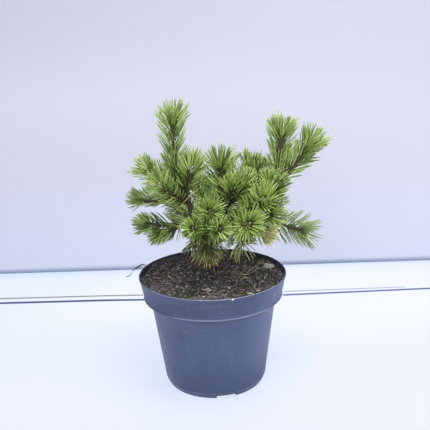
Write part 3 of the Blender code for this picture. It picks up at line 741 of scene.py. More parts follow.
def makeSprayTree():
    # copies a pattern onto each point, turned and sized by the point's attributes, and deals the tints
    tree, given, made = newTree(
        "needle sprays", "GeometryNodeTree", ("Geometry", "Geometry"), Geometry="Geometry",
        Patterns="Collection", Tint_1="Material", Tint_2="Material", Tint_3="Material", Tint_4="Material",
        Tips="Material", Sheaths="Material")

    def named(name, kind):
        return wired(tree, "GeometryNodeInputNamedAttribute", "Attribute", data_type=kind, Name=name)

    patterns = wired(tree, "GeometryNodeCollectionInfo", transform_space="ORIGINAL",
                     Collection=given["Patterns"], Separate_Children=True, Reset_Children=True)
    copies = wired(tree, "GeometryNodeInstanceOnPoints", Points=given["Geometry"], Instance=patterns,
                   Pick_Instance=True, Instance_Index=named("shape", "INT"),
                   Rotation=named("turn", "QUATERNION"), Scale=named("size", "FLOAT_VECTOR"))
    flow = wired(tree, "GeometryNodeRealizeInstances", Geometry=copies)
    rules = [("tint", number, f"Tint {number + 1}") for number in range(4)]
    # the foot of each needle takes the third tint, the darkest in most greens, as painted shade next to its
    # twig
    rules += [("zone", 1, "Tips"), ("zone", 2, "Sheaths"), ("zone", 3, "Tint 3")]
    for attribute, value, material in rules:
        same = wired(tree, "FunctionNodeCompare", data_type="INT", operation="EQUAL",
                     A=named(attribute, "INT"), B=value)
        flow = wired(tree, "GeometryNodeSetMaterial", Geometry=flow, Selection=same,
                     Material=given[material])
    tree.links.new(flow, made)
    return tree


limbTree = treeOf(limbSamples)
for mass in crown:
    mass.ownTree, mass.otherTree = treeOf(mass.samples()), treeOf(othersOf(mass))


def roomAt(mass, place, fromLimb):
    # whether a needle of the mass may be here
    over = needles["over"]
    if place.z < growth["soilTop"] + needles["soilSpace"]:
        return False
    if any(place[k] < cadBox[0][k] - over or place[k] > cadBox[1][k] + over for k in range(3)):
        return False
    if not fromLimb and mass.otherTree.find(place)[2] - mass.ownTree.find(place)[2] < needles["space"]:
        return False
    _, index, distance = limbTree.find(place)
    return distance > limbSamples[index][1] + needles["limbSpace"]


def freeLength(mass, root, way, length, fromLimb):
    # as much of a needle's length as its mass has room for
    steps = needles["steps"]
    for step in range(needles["limbStep"] if fromLimb else 1, steps + 1):
        if not roomAt(mass, root + way * (length * step / steps), fromLimb):
            return length * (step - 1) / steps
    return length


def spraysOf(mass):
    # one row for each pair: root, rotation, size, shape and tint
    chance = random.Random(growth["seed"] * needles["seed"] + mass.number)
    stretches = [(axis, needles["from"], False) for axis in mass.axes]
    if mass.share >= 1.0:
        limb = limbs[mass.parent]
        older = needles["olderWood"].get(mass.parent, needles["olderWood"]["other"])
        stretches.append((limb, max(needles["limbFrom"], 1.0 - older / limb.length), True))
    spacing, ownTint = greens[mass.green][1:3]
    spacing /= needles["denser"].get(mass.name, 1.0)
    foot, tip = mass.splay
    rows = []
    for axis, first, fromLimb in stretches:
        count = round(axis.length * (1.0 - first) / spacing)
        bare = fromLimb or mass.green in needles["hanging"]
        brush = 0 if bare else needles["fewer"].get(mass.name, needles["brush"])
        usual = chance.randrange(3)
        start = chance.uniform(0, fullTurn)
        for number in range(count + brush):
            place = min(1.0, (number + chance.uniform(*needles["placeJitter"])) / count)
            share = first + (1.0 - first) * place ** needles["crowd"]
            inBrush = number >= count
            if inBrush:
                share = chance.uniform(needles["brushFrom"], 1.0)
            point, along = axis.at(share)
            angle = start + number * goldenAngle + chance.uniform(*needles["turnJitter"])
            side = axis.across(share, angle)
            hides = not inBrush and share < needles["openTo"] and side.y < -needles["openFrom"]
            if hides and chance.random() < needles["open"]:
                continue
            ease = 0.0 if fromLimb else share ** needles["splayCurve"]
            splay = foot + (tip - foot) * ease + chance.uniform(-1, 1) * needles["splaySpread"]
            if inBrush:
                low, high = needles["brushSplay"]
                splay = chance.uniform(low if along.y < needles["facing"] else needles["brushUp"], high)
                hidesBud = mass.name in needles["showBud"] and side.y < needles["budSide"]
                if hidesBud and chance.random() < needles["budOpen"]:
                    continue
            splay = math.radians(splay)
            way = along * math.cos(splay) + side * math.sin(splay) + Vector((0, 0, mass.lift))
            way.normalize()
            length = needles["length"] * mass.size * chance.uniform(*needles["lengths"])
            root = point + side * axis.radius(share) * needles["rooted"]
            free = freeLength(mass, root, way, length, fromLimb)
            if free < length * needles["shortest"]:
                continue
            flat = along.cross(side).normalized()
            flat = (flat - way * flat.dot(way)).normalized()
            upright = Matrix((flat, way.cross(flat), way)).transposed()
            roll = Matrix.Rotation(chance.uniform(*needles["roll"]), 3, "Z")
            turn = (upright @ roll).to_quaternion()
            girth = chance.uniform(*needles["girths"])
            keeps = chance.random() < ownTint
            tint = usual if keeps else chance.choice((0, 1, 2, 3))
            # painted shade: some pairs of these masses take one of the two darker tints
            if chance.random() < needles["deep"].get(mass.name, 0.0):
                tint = chance.choice((1, 2))
            size = (girth, girth, free / needles["length"])
            rows.append((root, tuple(turn), size, chance.randrange(needles["shapes"]), tint))
    return rows


def makeNeedles():
    sheath = Finish("needle sheath", needles["sheathColour"], needles["sheathRoughness"]).material
    roughness, shine = needles["roughness"], needles["shine"]
    tints = {green: [Finish(f"needles {green} {number}", tint, roughness, Specular_IOR_Level=shine).material
                     for number, tint in enumerate(row[3:], 1)] for green, row in greens.items()}
    patterns = {}
    for name, (tipFrom, seed) in needles["tips"].items():
        chance = random.Random(seed)
        pairs = [pairShape(f"pair_{name[:4]}_{number}", chance, tipFrom, sheath)
                 for number in range(needles["shapes"])]
        patterns[name] = shapeCollection(name, pairs)
    sprayTree, total = makeSprayTree(), 0
    for mass in crown:
        rows = spraysOf(mass)
        total += len(rows)
        host = meshObject("points", [row[0] for row in rows], [])
        for number, (name, kind) in enumerate((("turn", "QUATERNION"), ("size", "FLOAT_VECTOR"),
                                               ("shape", "INT"), ("tint", "INT")), 1):
            addAttribute(host, name, kind, [row[number] for row in rows])
        values = dict(zip(("Tint 1", "Tint 2", "Tint 3", "Tint 4", "Tips"), tints[mass.green]))
        values |= {"Sheaths": sheath,
                   "Patterns": patterns["long tips" if mass.green in needles["longTips"] else "short tips"]}
        piece = plainMesh(host, sprayTree, values, f"needles_{mass.name}")
        for name in ("tint", "zone", "shape", "size", "turn"):
            if name in piece.data.attributes:
                piece.data.attributes.remove(piece.data.attributes[name])
        piece.data.shade_smooth()
        handIn(piece, greens[mass.green][0], f"mass_{mass.name}")
    print("needles:", total, "pairs")


makeNeedles()


# Twigs and buds

twigLook = {
    "sides": 9,
    "step": 0.0016,
    "seed": 71,
    "bark": 0.96,  # radius between the cushions, of the solid's
    "peg": 0.00042,  # height of the cushions that needles leave behind
    "pegSpacing": 0.0019,
    "pegLength": 1.15,  # from a cushion's middle to its end, in spacings
    "pegWidth": 0.62,  # and to its side, in radians
    "tipShare": 0.86,
}

budLook = {
    "length": 0.0100,
    "radius": 0.0021,
    "sides": 9,
    "rings": 9,
    "scales": 0.00030,  # how far the bud scales stand out
    "scaleRows": 9,
    "turn": (0, 6),  # radians that its scales are turned by
    "sunk": 0.001,  # in the twig's tip
    "sideSize": (0.62, 0.85),  # of a bud on a side twig
    "around": (3, 5),  # smaller buds round the middle one
    "aroundTurn": 2.2,  # radians from one of them to the next
    "aroundLean": (0.45, 0.75),
    "aroundSize": (0.48, 0.66),
    "aroundSunk": 0.0015,
    "bigger": {"centre_left": 1.45, "front_right": 1.5, "right_middle": 1.4, "left_front": 1.2},
}

# Dead needles caught in the crown: places along each in mm, its width and its colour
deadNeedles = (
    (((-43.5, 1, 286.1), (-35.5, -1, 293.9), (-25, -3.5, 303.4)), 1.8, "orange"),
    (((-38, -2, 292.4), (-26, -4, 303.6), (-11.9, -5, 313.8)), 1.5, "pale"),
    (((-56.8, -28, 306.2), (-52.8, -22, 302.3), (-49, -13, 297.3)), 1.9, "orange"),
    (((-47.3, -1, 281.8), (-44.1, -2, 284.5), (-40, -2, 286.8)), 1.8, "pale"),
    (((-48.7, -3, 281.5), (-53.5, -4, 276.7), (-58.6, -4, 272.2)), 1.5, "lime"),
    (((-51, 2, 246.7), (-46.2, 1, 249.5), (-41, -2, 252.3)), 2.0, "lime"),
    (((-52.5, 2.5, 252), (-47, 1, 251.5), (-42.5, -1, 248.6)), 1.6, "pale"),
    (((-0.8, -21, 224.2), (3.9, -21, 226.1), (8.5, -21, 228.6)), 2.0, "orange"),
    (((-4, -37, 246.9), (-0.8, -38, 248.7), (2.3, -38, 250.1)), 1.9, "tan"),
)
deadColours = {"orange": (0.64, 0.37, 0.12), "pale": (0.78, 0.68, 0.4), "lime": (0.6, 0.66, 0.26),
               "tan": (0.54, 0.4, 0.28)}


def twigFinish():
    finish = Finish("young bark", (0.068, 0.048, 0.033), 0.72)
    finish.blend(finish.attribute("age"), (0.115, 0.082, 0.046))
    finish.blend(finish.patches(420.0, 3.0, 0.46, 0.62), (0.05, 0.036, 0.028), 0.75)
    finish.blend(finish.patches(560.0, 1.0, 0.60, 0.66), (0.27, 0.215, 0.15), 0.6)
    return finish.grained(2600.0, 0.5, 0.0002, 0.6)


def budFinish():
    finish = Finish("winter bud", (0.17, 0.112, 0.098), 0.45, Coat_Weight=0.3, Coat_Roughness=0.3)
    finish.blend(finish.patches(430.0, 3.0, 0.49, 0.56), (0.72, 0.68, 0.71), 0.9)
    finish.blend(finish.attribute("rise"), (0.24, 0.15, 0.13), 0.3)
    return finish.grained(1800.0, 0.5, 0.0003, 0.7)


def pegHeight(along, angle, spacing, start=0.0):
    # how far the bark stands out where an old needle's cushion is, from 0 to 1
    high = 0.0
    nearest = int(along / spacing)
    for number in range(nearest - 2, nearest + 4):
        gap = (along - number * spacing) / (spacing * twigLook["pegLength"])
        turn = (angle - start - number * goldenAngle + math.pi) % fullTurn - math.pi
        high = max(high, 1.0 - gap * gap - (turn / twigLook["pegWidth"]) ** 2)
    return high


def twigTube(axis, start):
    rings, sides = max(6, round(axis.length / twigLook["step"])), twigLook["sides"]
    path = smoothPath(axis.points, rings)
    points, ages = [], []
    for index, (middle, pair) in enumerate(zip(path, framesAlong(path))):
        share = index / rings
        radius = axis.radius(share) * (1.0 - (1.0 - twigLook["tipShare"]) * share)
        for angle in turns(sides):
            stand = twigLook["peg"] * pegHeight(share * axis.length, angle, twigLook["pegSpacing"], start)
            points.append(middle + towards(pair, angle) * (radius * twigLook["bark"] + stand))
        ages += [share] * sides
    return points, tubeFaces(rings + 1, sides), ages


def budShape(foot, way, size, start):
    side = way.orthogonal().normalized()
    pair = (side, way.cross(side))
    length, radius = budLook["length"] * size, budLook["radius"] * size
    points, marks = [], []
    for ring in range(budLook["rings"] + 1):
        share = ring / budLook["rings"]
        swell = math.sin(math.pi * min(0.985, 0.16 + 0.84 * share) ** 0.85) ** 0.75
        for angle in turns(budLook["sides"]):
            spacing = length / budLook["scaleRows"]
            stand = budLook["scales"] * pegHeight(share * length, angle, spacing, start)
            out = towards(pair, angle) * (radius * swell + stand * (1 - share))
            points.append(foot + way * (length * share) + out)
        marks += [share] * budLook["sides"]
    return points, tubeFaces(budLook["rings"] + 1, budLook["sides"]), marks


def makeDeadNeedles():
    for colour, tint in deadColours.items():
        shapes = []
        for places, width, kind in deadNeedles:
            if kind == colour:
                path = smoothPath([Vector(place) / 1000 for place in places], 8)
                shapes.append(tube(path, 5, lambda ring: width / 2000 * (1.0 - 0.5 * abs(ring / 4 - 1))))
        material = Finish(f"{colour} needle", tint, 0.5).material
        handIn(joined(f"dead_needles_{colour}", shapes, material), "needles_straw")


def makeTwigs():
    chance = random.Random(twigLook["seed"])
    twigs, buds = [], []
    for mass in crown:
        for number, axis in enumerate(mass.axes):
            twigs.append(twigTube(axis, chance.uniform(0, fullTurn)))
            if mass.green in needles["hanging"]:
                continue
            point, along = axis.at(1.0)
            size = 1.0 if number == 0 else chance.uniform(*budLook["sideSize"])
            size *= budLook["bigger"].get(mass.name, 1.0)
            foot, lower = point - along * budLook["sunk"], point - along * budLook["aroundSunk"]
            buds.append(budShape(foot, along, size, chance.uniform(*budLook["turn"])))
            for small in range(chance.randint(*budLook["around"]) if number == 0 else 1):
                side = axis.across(1.0, small * budLook["aroundTurn"] + chance.uniform(0, 1))
                way = (along + side * chance.uniform(*budLook["aroundLean"])).normalized()
                smaller = size * chance.uniform(*budLook["aroundSize"])
                buds.append(budShape(lower, way, smaller, chance.uniform(*budLook["turn"])))
    handIn(joined("twigs", twigs, twigFinish(), "age"), "bark")
    handIn(joined("buds", buds, budFinish(), "rise"), "bark")
    print("twigs:", len(twigs), "buds:", len(buds))


makeDeadNeedles()
makeTwigs()


# Trunk and boughs, with the bark's relief

barkLook = {
    "trunkSides": 44,
    "boughSides": 22,
    "step": 0.0011,
    "flare": 0.0048,
    "flareHeight": 0.0085,
    "flareCurve": 1.6,
    "lobes": 5,
    "lobeDepth": 0.25,
    "sink": 0.0030,  # how far the trunk goes on into the soil
    "boughSink": 0.9,  # and a bough into its parent, in radii
    "plates": 0.00085,  # height of the bark's plates
    "plateSize": (0.0052, 0.0095),  # their width and length
    "plateDrift": (1.7, 0.35),  # how fine and how strongly their edges wander
    "crackWidth": 3.2,  # higher is narrower
    "plateLow": 0.6,  # height of a plate that stays level with the limb
    "plateLumps": (0.28, 3.1),  # how rough a plate's face is, and how fine
    "seeds": (3.0, 5.0),  # for the trunk and the first bough, and the step to the next bough's
    "boughRelief": 0.5,  # of the trunk's
    "radian": 0.006,  # length of bark round the limb for each radian
    "otherSide": 0.05,  # and from one side's plates to the other's
    "smoother": 0.45,  # how much of the relief is gone at the tip
    "ridge": 0.0006,  # height of the old needle cushions on the boughs
    "ridgeSpacing": 0.0026,
    "oldRidge": (0.5, 0.2),  # below this share of the trunk this much of them is left
    "deepShares": (0.75, 0.25),  # of plates and cushions in the mark that darkens the cracks
    "swell": 0.55,  # a bough's foot swells by this share of its radius
    "swellLength": 0.009,
}


def plateHeight(along, around, seed):
    wide, tall = barkLook["plateSize"]
    fine, strong = barkLook["plateDrift"]
    place = Vector((around / wide, along / tall, seed))
    drift = [noise.noise(place * fine + Vector((shift, 0, 0))) for shift in (0, 40, 80)]
    place += Vector(drift) * strong
    distances = noise.voronoi(place)[0]
    crack = min(1.0, (distances[1] - distances[0]) * barkLook["crackWidth"])
    rough, fine = barkLook["plateLumps"]
    return crack * (1.0 - rough + rough * noise.noise(place * fine))


def barkTube(limb, sides, seed, trunk):
    sink = barkLook["sink"] if trunk else limb.radii[0] * barkLook["boughSink"]
    size = 1.0 if trunk else barkLook["boughRelief"]
    (oldEnd, left), (plateShare, pegShare) = barkLook["oldRidge"], barkLook["deepShares"]
    length = limb.length + sink
    start = limb.points[0] - (limb.points[1] - limb.points[0]).normalized() * sink
    rings = round(length / barkLook["step"])
    path = smoothPath([start, *limb.points], rings)
    points, marks = [], []
    for index, (middle, pair) in enumerate(zip(path, framesAlong(path))):
        along = index / rings * length - sink
        share = max(0.0, along / limb.length)
        radius = limb.radius(share)
        foot = max(0.0, 1.0 - max(0.0, along) / barkLook["flareHeight"]) if trunk else 0.0
        if not trunk:
            nearFoot = max(0.0, 1.0 - share * limb.length / barkLook["swellLength"])
            radius *= 1.0 + barkLook["swell"] * nearFoot ** 2
        rough = 1.0 - barkLook["smoother"] * share
        for angle in turns(sides):
            out = towards(pair, angle)
            flat = Vector((out.x, out.y, 0.0)).normalized()
            lobe = 1.0 - barkLook["lobeDepth"] * (1.0 - math.cos(barkLook["lobes"] * angle))
            spread = barkLook["flare"] * foot ** barkLook["flareCurve"] * lobe
            # the plates run round to both sides, so that no seam shows
            around = (angle if angle < math.pi else fullTurn - angle) * barkLook["radian"]
            around += barkLook["otherSide"] if angle < math.pi else 0.0
            plate = plateHeight(along, around, seed)
            peg = pegHeight(along, angle, barkLook["ridgeSpacing"])
            peg *= left if trunk and share < oldEnd else 1.0
            relief = barkLook["plates"] * rough * (plate - barkLook["plateLow"]) + barkLook["ridge"] * peg
            way = out.lerp(flat, foot).normalized() if trunk else out
            points.append(middle + way * (radius + spread + relief * size))
            marks.append(min(1.0, max(0.0, plateShare * plate + pegShare * peg)))
    return points, tubeFaces(rings + 1, sides), marks


def barkFinish():
    finish = Finish("rough bark", (0.088, 0.07, 0.06), 0.88)
    finish.blend(finish.patches(170.0, 4.0, 0.48, 0.62), (0.15, 0.084, 0.052), 0.65)
    finish.blend(finish.patches(95.0, 5.0, 0.50, 0.66), (0.15, 0.142, 0.135), 0.5)
    deep = finish.both(0.80, finish.attribute("height"), "SUBTRACT")
    finish.blend(deep, (0.03, 0.022, 0.018), 1.15)
    return finish.grained(1700.0, 0.45, 0.0005, 0.8)


def makeBark():
    material = barkFinish()
    seed, seedStep = barkLook["seeds"]
    trunk = barkTube(limbs["trunk"], barkLook["trunkSides"], seed, True)
    handIn(joined("trunk_bark", [trunk], material, "height"), "bark", "trunk")
    names = [name for name in limbs if name != "trunk"]
    shapes = [barkTube(limbs[name], barkLook["boughSides"], seed + number * seedStep, False)
              for number, name in enumerate(names)]
    replaced = [f"bough_{name}" for name in names]
    handIn(joined("bough_bark", shapes, material, "height"), "bark", *replaced)
    print("bark: trunk and", len(names), "boughs")


makeBark()


# The pot

pot = {
    "height": 0.1764,
    "rimRadius": 0.115,
    "collarRadius": 0.108,
    "collarLow": 0.1415,
    "bodyTopRadius": 0.098,
    "bodyLowRadius": 0.0808,
    "footRadius": 0.077,
    "footRidge": 0.0085,
    "footWidth": 0.0045,
    "wall": 0.0018,
    "stepFall": 0.005,
    "lip": 0.0015,
    "innerFall": 0.004,
    "innerRound": 0.002,
    "floorLow": 0.006,
    "floorTop": 0.009,
    "padRadius": 0.024,
    "padSlope": 0.003,
    "steps": 192,
    "notches": 3,
    "notchFirst": -79.0,  # degrees
    "notchWidth": 0.030,
    "notchHeight": 0.0052,
    "notchReach": 0.012,
    "notchBelow": 0.004,
    "floorRound": (0.003, 0.004),  # width and height of the slope from the floor to the inner wall
    "stepRound": (0.003, 0.0016),  # how far in and down the slope at the collar's step goes
    "inward": 0.2,  # a face that leans in by more than this is on the inner wall
    "innerFloor": 0.06,  # and one that is nearer the middle than this is on the inner floor
    "shadeAndDustBelowRim": 0.0022,  # the inner finish of painted shade and dust stops this far below the rim
    "sharpFrom": 48,  # degrees
}

# Marks on the pot, most of them wear and the last two painted shade at a drain notch: middle and reach in
# mm, how hard the edge is, colour and amount
potMarks = (
    ((90.4, -65, 160), (1, 2.2, 3.6), 0.3, (0.36, 0.4, 0.56), 0.8),
    ((89, -65.5, 154.5), (1.2, 1.2, 3), 0.3, (0.3, 0.34, 0.5), 0.7),
    ((86.8, -67.2, 150), (1, 3, 1.6), 0.3, (0.26, 0.3, 0.46), 0.6),
    ((27.1, -112.2, 174.8), (2.3, 3, 1.6), 0.6, (0.95, 0.94, 0.92), 1),
    ((-32.5, -90.7, 123.5), (6, 20, 1.6), 0.1, (0.15, 0.135, 0.215), 0.4),
    ((-16, -95, 122.2), (8, 20, 1.9), 0.1, (0.165, 0.14, 0.225), 0.45),
    ((-49.3, -81.1, 106), (9.5, 20, 13.5), 0, (0.034, 0.05, 0.11), 0.75),
    ((-40, -87, 116.5), (12, 20, 2.2), 0.2, (0.12, 0.145, 0.24), 0.4),
    ((-55.9, -93.7, 147), (2.2, 6, 3), 0.2, (0.14, 0.165, 0.27), 0.6),
    ((56, -85, 133.5), (7, 10, 1.8), 0.3, (0.045, 0.06, 0.115), 0.6),
    ((5, -79, 50), (50, 70, 35), 0, (0.046, 0.066, 0.138), 0.35),
    # painted shade along the top edge of the front drain notch and at its end
    ((15, -78.5, 6), (19, 10, 2.4), 0.7, (0.018, 0.017, 0.024), 1),
    ((28.5, -74, 6.2), (2.6, 8, 3.4), 0.6, (0.006, 0.006, 0.01), 1),
)


def metres(lengths):
    return [length / 1000 for length in lengths]


def wallRadius(height):
    share = (height - pot["footRidge"]) / (pot["collarLow"] - pot["stepFall"] - pot["footRidge"])
    return pot["bodyLowRadius"] + (pot["bodyTopRadius"] - pot["bodyLowRadius"]) * share


def collarInside(height):
    low = pot["collarLow"] + pot["innerRound"]
    share = (height - low) / (pot["height"] - pot["lip"] - low)
    return pot["collarRadius"] - pot["wall"] + (pot["rimRadius"] - pot["collarRadius"]) * share


def innerProfile(gap):
    # from the middle of the floor up to the rim, or as far inside that as the gap says
    step, wall = pot["collarLow"] - pot["innerFall"], pot["wall"]
    low, top, pad = pot["floorLow"], pot["floorTop"], pot["padRadius"]
    (floorOut, floorUp), (stepOut, stepUp) = pot["floorRound"], pot["stepRound"]
    return [
        (0.0, top - low + gap),
        (pad - gap, top - low + gap),
        (pad + pot["padSlope"] - gap, top + gap),
        (wallRadius(top) - wall - floorOut - gap, top + gap),
        (wallRadius(top + floorUp) - wall - gap, top + floorUp),
        (wallRadius(step) - wall - gap, step + gap),
        (pot["collarRadius"] - wall - stepOut - gap, pot["collarLow"] - stepUp + gap),
        (pot["collarRadius"] - wall - gap, pot["collarLow"] + pot["innerRound"] + gap),
        (pot["rimRadius"] - wall - gap, pot["height"] - pot["lip"]),
    ]


def outerProfile():
    # from the rim down to the middle of the underside: steps in mm round one place after another,
    # with the moulding's small roundings
    step, ridge, floor = pot["collarLow"] - pot["stepFall"], pot["footRidge"], pot["floorLow"]
    inside, pad = pot["footRadius"] - pot["footWidth"], pot["padRadius"]
    places = (
        (pot["rimRadius"], pot["height"], ((-1.6, -0.3), (-1.1, 0), (-0.4, -0.3), (0, -0.9), (0, -1.8),
                                           (-0.6, -3), (-1.1, -5), (-1.6, -6.2))),
        (pot["collarRadius"], pot["collarLow"], ((0.3, 3), (0.9, 2.1), (1.2, 1.2), (0.8, 0.3), (-0.4, -0.6),
                                                 (-1.8, -1.6), (-3.6, -2.8), (-5.8, -3.7))),
        (wallRadius(step), step, ((2.2, 1), (0.7, 0.4), (0, -0.8))),
        (wallRadius(0.100), 0.100, ((0, 0),)),
        (wallRadius(0.055), 0.055, ((0, 0),)),
        (wallRadius(ridge + 0.0016), ridge + 0.0016, ((0, 0),)),
        (wallRadius(ridge), ridge, ((0.2, 0.4), (-0.4, -0.4), (-0.9, -1.4))),
        (pot["footRadius"], 0.0, ((2, 4), (1, 1.9), (0.3, 0.6), (-0.6, 0))),
        (inside, 0.0, ((0.6, 0), (0, 0.6))),
        (inside, floor, ((-0.6, 0),)),
        (pad + pot["padSlope"], floor, ((2.4, 0),)),
        (pad, 0.0, ((2.4, 0.3), (1.8, 0))),
    )
    return [(radius + out / 1000, height + up / 1000)
            for radius, height, steps in places for out, up in steps] + [(0.0, 0.0)]


def potFinish():
    finish = Finish("slate blue plastic", (0.055, 0.085, 0.188), 0.50, Specular_IOR_Level=0.6)
    cloud = finish.patches(17.0, 5.0, 0.38, 0.72)
    worn = finish.both(finish.drawn((0.25, 0.25, 2.2), 60.0, 0.52, 0.66), finish.heights(0.1420, 0.1450))
    # front masks for the painted highlights along the collar's edge and on the lip
    paintedEdgeHighlight = finish.spot((0.014, -0.112, 0.142), (0.086, 0.080, 0.080), 0.75)
    nearLip = finish.spot((0.0, -0.130, 0.176), (0.160, 0.130, 0.130), 0.6)
    layers = [
        (cloud, (0.073, 0.108, 0.23), 0.75),
        # painted shade: darker towards the bottom, and darker on the collar
        (finish.heights(0.085, 0.004), (0.028, 0.047, 0.12), 0.75),
        (finish.heights(0.1405, 0.1440), (0.036, 0.055, 0.126), 0.6),
        # painted light on the right side and painted shade on the left side
        (finish.spot((0.095, -0.070, 0.105), (0.075, 0.080, 0.110), 0.1), (0.1, 0.142, 0.3), 0.65),
        (finish.spot((-0.080, -0.070, 0.065), (0.060, 0.080, 0.110), 0.1), (0.044, 0.072, 0.166), 0.6),
        (finish.drawn((1.0, 1.0, 0.07), 150.0, 0.54, 0.78), (0.12, 0.15, 0.25), 0.32),
        (worn, (0.086, 0.112, 0.215), 0.32),
        (finish.drawn((0.35, 0.35, 1.6), 26.0, 0.56, 0.80), (0.046, 0.062, 0.118), 0.5),
        # painted shade under the collar's edge and a painted highlight along it, then a painted highlight on
        # the foot's ridge, painted shade on its lowest edge and a painted highlight on the lip
        (finish.band(0.1290, 0.1400, 0.1400, 0.1410), (0.036, 0.05, 0.104), 0.55),
        (finish.both(finish.band(0.1400, 0.1416, 0.1428, 0.1442), paintedEdgeHighlight), (0.245, 0.275, 0.41), 0.9),
        (finish.band(0.0066, 0.0080, 0.0088, 0.0102), (0.11, 0.138, 0.25), 0.55),
        (finish.heights(0.0016, 0.0), (0.02, 0.026, 0.05), 0.8),
        (finish.both(finish.heights(0.1755, 0.1762), nearLip), (0.24, 0.26, 0.35), 0.85),
    ]
    for middle, reach, edge, colour, amount in potMarks:
        layers.append((finish.spot(metres(middle), metres(reach), edge), colour, amount))
    layers.append((finish.patches(620.0, 1.0, 0.70, 0.76), (0.36, 0.39, 0.5), 0.45))
    for layer in layers:
        finish.blend(*layer)
    rough = finish.add("ShaderNodeMapRange", Value=cloud, To_Min=0.40, To_Max=0.56)
    feed(finish.tree, finish.shader, Roughness=rough)
    return finish.grained(1500.0, 0.35, 0.00022, 0.45)


def potInsideFinish():
    # a dark base colour as painted shade on the inner wall, with patches of dust over it
    finish = Finish("dusty inner wall", (0.014, 0.016, 0.034), 0.55)
    dust = finish.patches(85.0, 5.0, 0.46, 0.66)
    finish.blend(dust, (0.03, 0.028, 0.034), 0.6)
    finish.blend(finish.both(finish.heights(0.1745, 0.1695), dust), (0.205, 0.184, 0.178), 1.0)
    finish.blend(finish.spot((-0.073, 0.082, 0.169), (0.04, 0.04, 0.005), 0.2), (0.125, 0.108, 0.104), 0.85)
    return finish.grained(900.0, 0.5, 0.0004, 0.5)


def ringsOf(profile, steps):
    return [[onCircle(radius, angle, height) for angle in turns(steps)] for radius, height in profile]


def cutNotch(piece, angle):
    near, far = pot["footRadius"] - pot["notchReach"], pot["footRadius"] + pot["notchReach"]
    half = pot["notchWidth"] / 2
    low, high = -pot["notchBelow"], pot["notchHeight"]
    corners = [(x, y, z) for x in (near, far) for y in (-half, half) for z in (low, high)]
    sides = [(0, 1, 3, 2), (4, 6, 7, 5), (0, 4, 5, 1), (2, 3, 7, 6), (0, 2, 6, 4), (1, 5, 7, 3)]
    cutter = meshObject("notch_cutter", corners, sides, smooth=False)
    cutter.data.transform(Matrix.Rotation(math.radians(angle), 4, "Z"))
    cut = piece.modifiers.new("Drain notch", "BOOLEAN")
    cut.operation, cut.object = "DIFFERENCE", cutter
    mesh = evaluatedMesh(piece)
    piece.modifiers.clear()
    piece.data = mesh
    bpy.data.objects.remove(cutter)


def makePot():
    inner = innerProfile(0.0)
    rings = ringsOf((inner + outerProfile())[1:-1], pot["steps"])
    points, faces = lathe(Vector((0, 0, inner[0][1])), rings, Vector())
    piece = meshObject("pot_shell", points, faces, potFinish())
    piece.data.materials.append(potInsideFinish())
    for number in range(pot["notches"]):
        cutNotch(piece, pot["notchFirst"] + number * 360 / pot["notches"])
    for face in piece.data.polygons:
        # the inner wall and floor take the dark finish of painted shade and dust
        out = math.hypot(face.center.x, face.center.y)
        outward = face.normal.x * face.center.x + face.normal.y * face.center.y
        isInside = outward < -pot["inward"] * out or out < pot["innerFloor"]
        isBetween = inner[0][1] - 0.0001 < face.center.z < pot["height"] - pot["shadeAndDustBelowRim"]
        face.material_index = 1 if isInside and isBetween else 0
    piece.data.shade_smooth()
    piece.data.set_sharp_from_angle(angle=math.radians(pot["sharpFrom"]))
    handIn(piece, "pot", "pot")
    print("pot:", len(piece.data.polygons), "faces")


makePot()


# The soil, with chips of bark, shreds of peat, straw and grit

soil = {
    "edge": 0.168,
    "seatRadius": 0.019,
    "rings": 84,
    "steps": 240,
    "lump": 0.0022,
    "lumpScale": 55,
    "crumb": 0.0013,
    "crumbScale": 230,
    "slope": 0.85,  # it falls over this share of its radius
    "calmEdge": 0.05,  # and is even for this share of it next to the wall
    "rimGap": 0.0004,
    "litterGap": 0.0041,  # scattered litter keeps this far from the edge
}
soilRadius = collarInside(soil["edge"]) - soil["rimGap"]

# Patterns for the scattered litter: how many there are, and their length, width and thickness
litterShapes = {
    "seed": 41,
    "chips": (7, (0.0040, 0.0072), (0.0026, 0.0046), (0.0014, 0.0028)),
    "shreds": (8, (0.006, 0.014), (0.0008, 0.0016), (0.1, 1.3)),  # the last is their curl in radians
    "grit": (4, 0.0024, 0.0019, 0.0016),
    "moss": 5,
    "breaks": (-0.28, 0.22),  # how far a chip's corners go in and out
    "shredSteps": 7,
    "shredWobble": (-0.5, 0.5),
    "shredRise": 0.25,
    "mossBlades": 6,
    "mossLean": (0.2, 0.9),
    "mossRadius": 0.0004,
    "mossLength": (0.0016, 0.0032),
}


def soilLevel(x, y):
    # height of the soil at a place: level near the wall, and raised round the trunk
    footX, footY = growth["trunkFoot"]
    out = min(1.0, math.hypot(x, y) / soilRadius)
    near = math.hypot(x - footX, y - footY)
    share = max(0.0, min(1.0, (near - soil["seatRadius"]) / (soilRadius * soil["slope"])))
    height = growth["soilTop"] + (soil["edge"] - growth["soilTop"]) * math.sin(share * math.pi / 2)
    wide, fine = soil["lumpScale"], soil["crumbScale"]
    lump = noise.noise(Vector((x * wide, y * wide, 1.0))) * soil["lump"]
    crumb = noise.turbulence(Vector((x * fine, y * fine, 4.0)), 3, False) * soil["crumb"]
    return height + (lump + crumb) * min(1.0, (1.0 - out) / soil["calmEdge"])


def onSoil(x, y):
    return Vector((x, y, soilLevel(x, y)))


def soilRing(radius, steps, x=0.0, y=0.0):
    return [onSoil(x + radius * math.cos(angle), y + radius * math.sin(angle)) for angle in turns(steps)]


